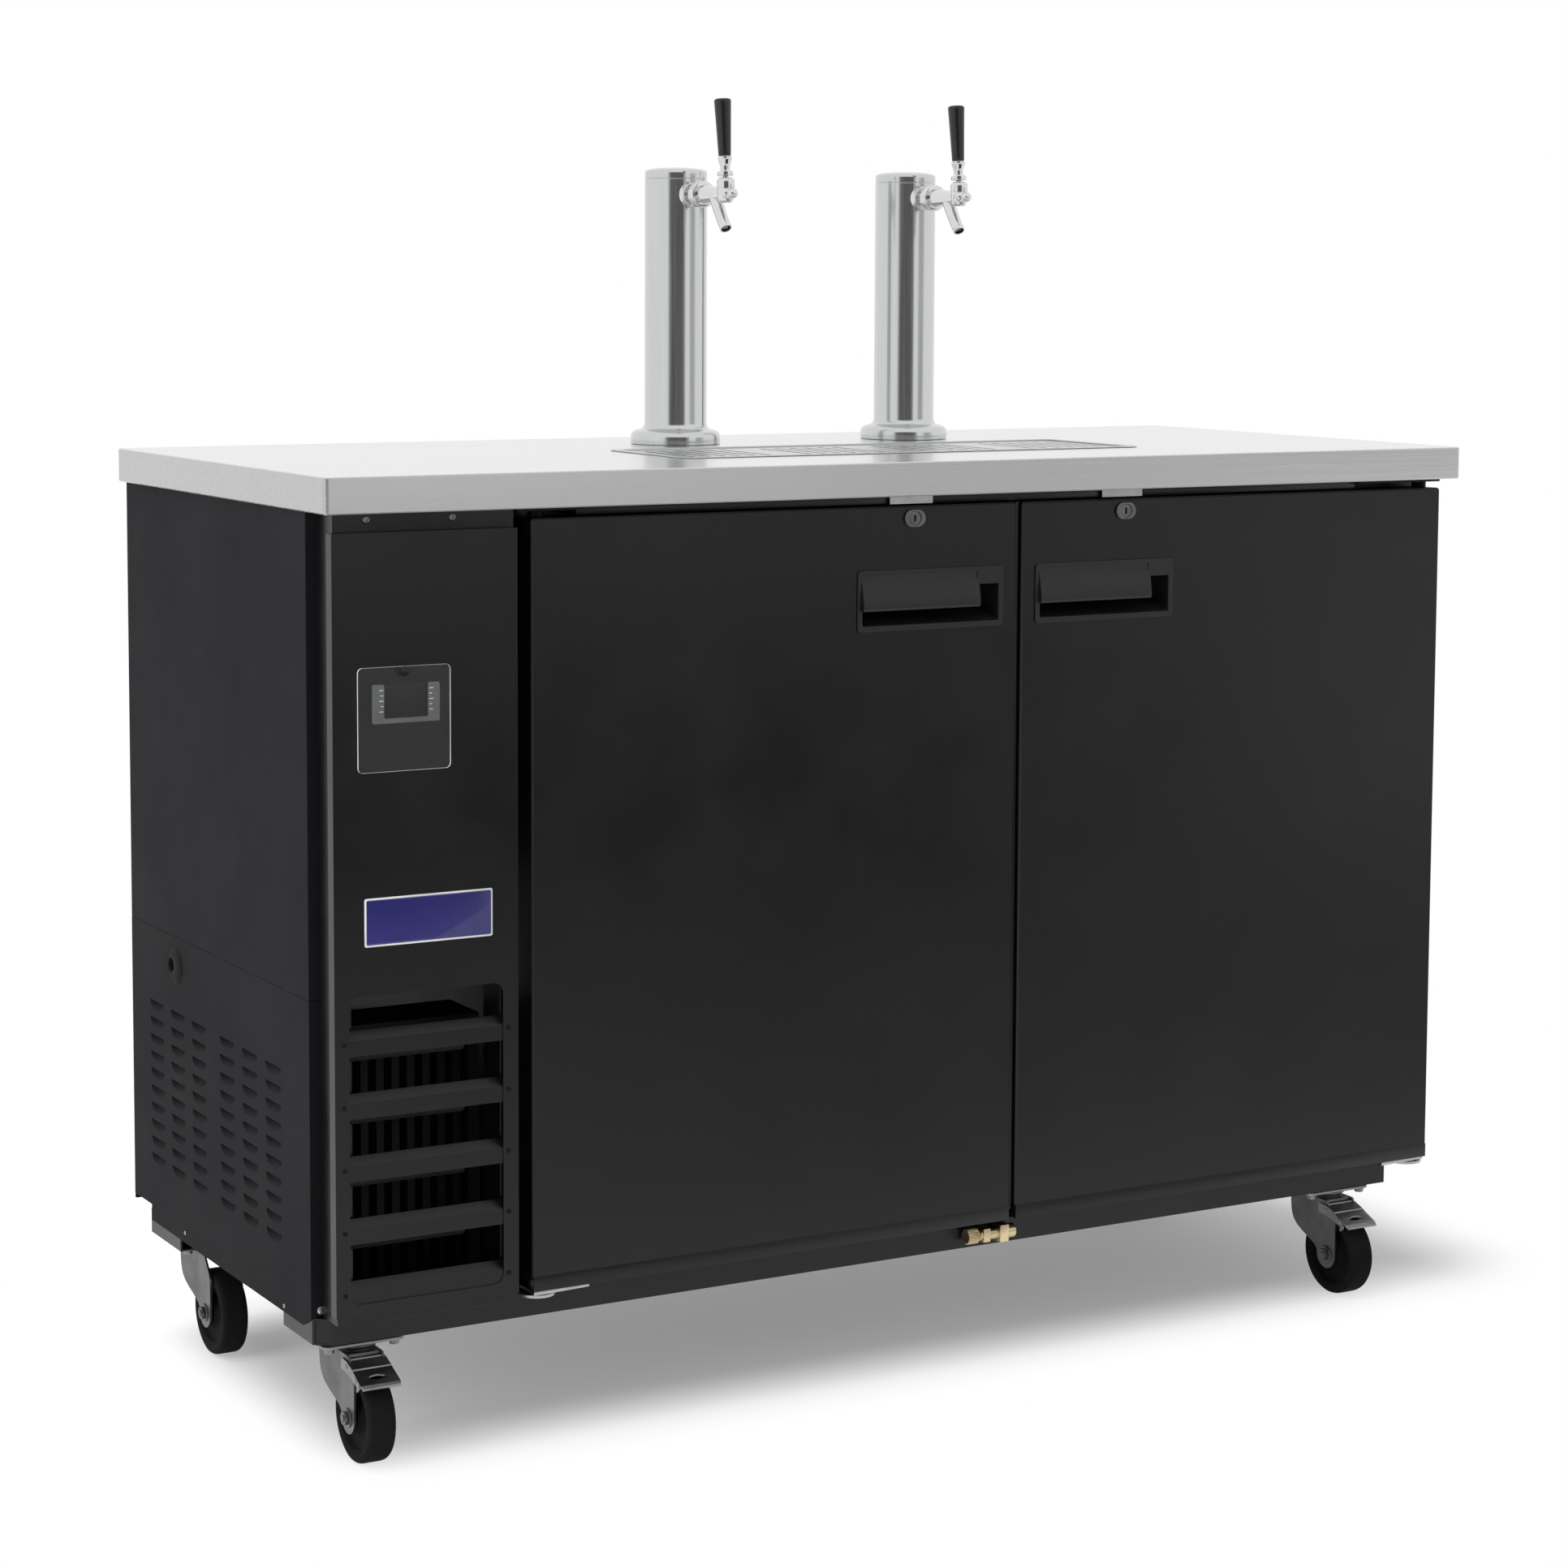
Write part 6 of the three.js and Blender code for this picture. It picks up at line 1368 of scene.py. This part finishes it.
GROMMET_FACE = -742.7
GROMMET_LEAN = 10.0
GROMMET_PATH = (
    (22.0, 0.0, 0.0), (22.0, -1.2, 0.0), (21.4, -2.4, 0.0), (20.0, -3.6, 0.05), (18.0, -4.6, 0.2),
    (15.6, -5.2, 0.45), (12.4, -5.3, 0.75), (9.6, -5.0, 0.95), (8.4, -4.2, 1.0), (8.0, -3.0, 1.0),
    (8.0, 0.4, 1.0),
)


def grommet():
    """Rubber ring whose hole lies off its middle: radius, depth and share of the offset."""
    data = bmesh.new()
    rings = []
    middle_y, middle_z = GROMMET_PLACE
    for radius, depth, share in GROMMET_PATH:
        border = circle(middle_y + GROMMET_LEAN * share, middle_z, radius, 48)
        rings.append([data.verts.new(Vector((GROMMET_FACE + depth, y, z)) * MM) for y, z in border])
    bridge(data, rings)
    add_face(data, rings[-1])
    keep(data, "grommet_ring", [rubber], "cabinet", ("line_grommet",), 50)


GLAND_RIB = ((9.4, 0.0), (9.0, 0.7), (7.6, 0.9), (7.6, 1.5))
GLAND = (
    [(4.5, 301.3), (9.3, 301.3), (9.3, 304.9), (11.6, 304.9), (12.0, 305.4), (12.0, 306.4), (11.0, 307.2)]
    + ribs(307.6, 317.4, 2.0, GLAND_RIB)
    + [(6.9, 318.2), (6.2, 318.8), (4.5, 318.8), (4.5, 301.3)]
)


def gland():
    """Ribbed sleeve at the back through which a cord would leave."""
    data = bmesh.new()
    turn(data, GLAND, "y", (-685.0, 0, 208.0), 40)
    keep(data, "ribbed_gland", [rubber], "cabinet", ("cord_gland",), 40)


fasteners()
grommet()
gland()


# Fan and compressor in the machine bay

FAN = Vector((-625.0, -144.0, 309.3))
FAN_BLADES = 5
BLADE_STEPS = 8
BLADE_HALF_SHEET = 0.8
HUB = (
    (4.4, -134.2), (21.6, -134.2), (22.0, -135.0), (22.0, -149.0), (19.0, -152.6), (12.0, -153.8),
    (0, -154.0), (0, -149.2), (4.4, -149.2), (4.4, -134.2),
)


def blade_face(base, offset):
    """Grid of points from the hub to the tip, twisted across and swept a little forward."""
    grid = []
    for i in range(BLADE_STEPS + 1):
        out = i / BLADE_STEPS
        radius = 20.0 + 61.0 * out
        half_angle = math.radians(26 + 6 * math.sin(math.pi * out))
        row = []
        for j in range(BLADE_STEPS + 1):
            across = j / BLADE_STEPS - 0.5
            angle = base + 2 * half_angle * across + 0.10 * out ** 2
            rise = 1.0 + 17.0 * across * (1 - 0.25 * out) + 2.0 * math.cos(math.pi * across)
            spot = Vector((radius * math.cos(angle), rise + offset, radius * math.sin(angle)))
            row.append(FAN + spot)
        grid.append(row)
    return grid


def fan():
    """Hub with its five blades, each a thin shell."""
    data = bmesh.new()
    turn(data, HUB, "y", (FAN.x, 0, FAN.z), 48)
    for blade in range(FAN_BLADES):
        base = 2 * math.pi * blade / FAN_BLADES
        shell(data, blade_face(base, -BLADE_HALF_SHEET), blade_face(base, BLADE_HALF_SHEET))
    keep(data, "fan_rotor", [black_plastic], "condenser_fan", ("condenser_fan",), 40)


POT_X, POT_Y = -625.0, 150.0
POT = (
    (0, 162.0), (62.0, 162.0), (68.0, 165.0), (72.0, 172.0), (73.4, 184.0), (73.6, 228.0), (74.0, 229.0),
    (74.0, 235.0), (73.0, 236.0), (72.2, 262.0), (71.4, 285.0), (68.0, 300.0), (60.0, 314.0), (46.0, 325.0),
    (28.0, 331.8), (0, 334.2),
)
POT_FOOT = ((0, 162.0), (11.0, 162.0), (11.0, 165.0), (8.0, 166.0), (8.0, 172.0), (6.0, 173.0), (0, 173.0))
POT_FOOT_REACH, POT_PLATE_REACH = 75.0, 95.0
TERMINAL_BOX = ((-570.0, 118.0, 205.0), (-540.0, 178.0, 262.0))
PIPE_RADIUS = 4.0
POT_PIPES = (
    ((-665.0, 190.0, 300.0), (-668.0, 194.0, 318.0), (-672.0, 200.0, 326.0), (-690.0, 212.0, 328.0)),
    ((-580.0, 192.0, 296.0), (-578.0, 196.0, 316.0), (-574.0, 202.0, 324.0), (-560.0, 214.0, 326.0)),
)


def compressor():
    """Pot on a base plate with four rubber feet, its terminal box and two pipe stubs."""
    data = bmesh.new()
    plate_low = (POT_X - POT_PLATE_REACH, POT_Y - POT_PLATE_REACH, 159.4)
    brick(data, plate_low, (POT_X + POT_PLATE_REACH, POT_Y + POT_PLATE_REACH, 162.3), 1.2)
    turn(data, POT, "z", (POT_X, POT_Y, 0), 80)
    for x in (POT_X - POT_FOOT_REACH, POT_X + POT_FOOT_REACH):
        for y in (POT_Y - POT_FOOT_REACH, POT_Y + POT_FOOT_REACH):
            turn(data, POT_FOOT, "z", (x, y, 0), 24, 1)
    brick(data, *TERMINAL_BOX, 4.0, 3, 1)
    for route in POT_PIPES:
        sweep(data, route, [PIPE_RADIUS] * len(route), 16, 2)
    keep(
        data, "compressor_pot", [dark_paint_and_shade, black_plastic, copper], "cabinet", ("compressor",),
        34,
    )


fan()
compressor()


# Studio: pale floor, white world, soft lamps, and cards that only reflections see

FILL_LEVEL = 0.45


def make_world():
    """White for the rays that see it, and an even fill for the others."""
    world = bpy.data.worlds.new("studio")
    scene.world = world
    world.use_nodes = True
    world.node_tree.nodes.clear()
    nodes = Nodes(world.node_tree)
    fill = nodes.add("ShaderNodeBackground", {"Color": WHITE, "Strength": FILL_LEVEL})
    white = nodes.add("ShaderNodeBackground", {"Color": WHITE, "Strength": 1.0})
    mix = nodes.mix(nodes.seen_rays(), fill.outputs["Background"], white.outputs["Background"])
    nodes.add("ShaderNodeOutputWorld", {"Surface": mix})


def flat_sheet(name, steps, size, material):
    """Level square grid of the studio, which isn't a piece of the object."""
    data = bmesh.new()
    bmesh.ops.create_grid(data, x_segments=steps, y_segments=steps, size=size)
    mesh = bpy.data.meshes.new(name)
    data.to_mesh(mesh)
    data.free()
    mesh.materials.append(material)
    sheet = bpy.data.objects.new(name, mesh)
    scene.collection.objects.link(sheet)
    return sheet


SHADOW_MIDDLE = (0.075, 0.29, 0.0)
SHADOW_HALF = (0.695, 0.461, 9.0)
SHADOW_FADE = 0.215
SHADOW_LIFT = 0.235
SHADOW_STEPS = (
    ("SUBTRACT", SHADOW_MIDDLE), ("ABSOLUTE",), ("SUBTRACT", SHADOW_HALF), ("MAXIMUM", (0.0, 0.0, 0.0)),
    ("LENGTH",),
)
FLOOR_TONES = (0.93, 0.93, 0.93), (0.95, 0.95, 0.95)
FLOOR_DROP = 0.0006


def make_floor():
    """White floor that keeps the shadow near the object and fades to plain white far off."""
    shader = Shader("floor_white", FLOOR_TONES[0], 0.0, 0.9, Specular_IOR_Level=0.1)
    shader.colour(shader.ramp(shader.noise(40.0), *FLOOR_TONES))
    away = shader.place
    for operation, *values in SHADOW_STEPS:
        sockets = dict(enumerate([away] + values))
        step = shader.add("ShaderNodeVectorMath", sockets, operation=operation)
        away = step.outputs["Value" if operation == "LENGTH" else "Vector"]
    far = shader.spread(away, SHADOW_LIFT, 1.0, 0.0, SHADOW_FADE, "SMOOTHSTEP")
    glow = shader.add("ShaderNodeEmission", {"Color": WHITE, "Strength": 1.0}).outputs["Emission"]
    factor = shader.calculate("MULTIPLY", far, shader.seen_rays())
    mix = shader.mix(factor, shader.surface.outputs["BSDF"], glow)
    shader.tree.links.new(mix, shader.tree.nodes["Material Output"].inputs["Surface"])
    floor = flat_sheet("floor", 8, 30.0, shader.material)
    floor.location.z = -FLOOR_DROP


def make_lamp(name, place, aim, size, power):
    """Rectangular lamp turned towards its aim, which reflections don't show."""
    data = bpy.data.lights.new(name, "AREA")
    data.shape = "RECTANGLE"
    data.size, data.size_y = size
    data.energy = power
    lamp = bpy.data.objects.new(name, data)
    lamp.location = place
    lamp.rotation_euler = (Vector(aim) - Vector(place)).to_track_quat("-Z", "Y").to_euler()
    lamp.visible_glossy = False
    scene.collection.objects.link(lamp)


def card_look(name, level, soft):
    """Even glow that fades to nothing within the soft share at each border."""
    material = bpy.data.materials.new(name)
    material.use_nodes = True
    material.node_tree.nodes.clear()
    nodes = Nodes(material.node_tree)
    place = nodes.add("ShaderNodeTexCoord").outputs["Object"]
    split = nodes.add("ShaderNodeSeparateXYZ", {"Vector": place})
    fades = []
    for axis, border in zip("XY", soft):
        from_middle = nodes.calculate("ABSOLUTE", split.outputs[axis])
        fades.append(nodes.spread(from_middle, 0.0, 1.0, 0.5, 0.5 - border, "SMOOTHSTEP"))
    nothing = nodes.add("ShaderNodeBsdfTransparent").outputs["BSDF"]
    glow = nodes.add("ShaderNodeEmission", {"Color": (level, level, level, 1.0)}).outputs["Emission"]
    mix = nodes.mix(nodes.calculate("MULTIPLY", *fades), nothing, glow)
    nodes.add("ShaderNodeOutputMaterial", {"Surface": mix})
    return material


def make_card(name, place, aim, size, level, soft):
    """Studio card with soft borders, seen by reflections alone."""
    card = flat_sheet(name, 2, 0.5, card_look(name, level, soft))
    card.location = place
    card.scale = (*size, 1.0)
    card.rotation_euler = (Vector(aim) - Vector(place)).to_track_quat("Z", "Y").to_euler()
    card.visible_camera = False
    card.visible_diffuse = False
    card.visible_shadow = False
    card.visible_transmission = False


make_world()
make_floor()
make_lamp("overhead", (-1.2, 0.6, 4.6), (0.0, 0.0, 0.5), (4.0, 3.4), 230.0)
make_lamp("left_side", (-4.2, -0.6, 2.2), (0.0, 0.0, 0.7), (2.6, 2.6), 70.0)
make_card("low_card", (0.45, -2.7, 0.13), (0.45, 0.0, 0.13), (4.3, 1.3), 0.03, (0.26, 0.26))
make_card("near_card", (1.5, -0.95, 0.2), (1.5, 0.0, 0.2), (4.2, 0.72), 0.55, (0.2, 0.42))
make_card("camera_card", (-2.5, -5.5, 1.9), (0.1, 0.1, 1.2), (8.4, 3.8), 0.12, (0.18, 0.3))
make_card("right_card", (4.1, -5.5, 1.55), (0.1, 0.1, 1.55), (3.8, 1.7), 0.5, (0.3, 0.12))
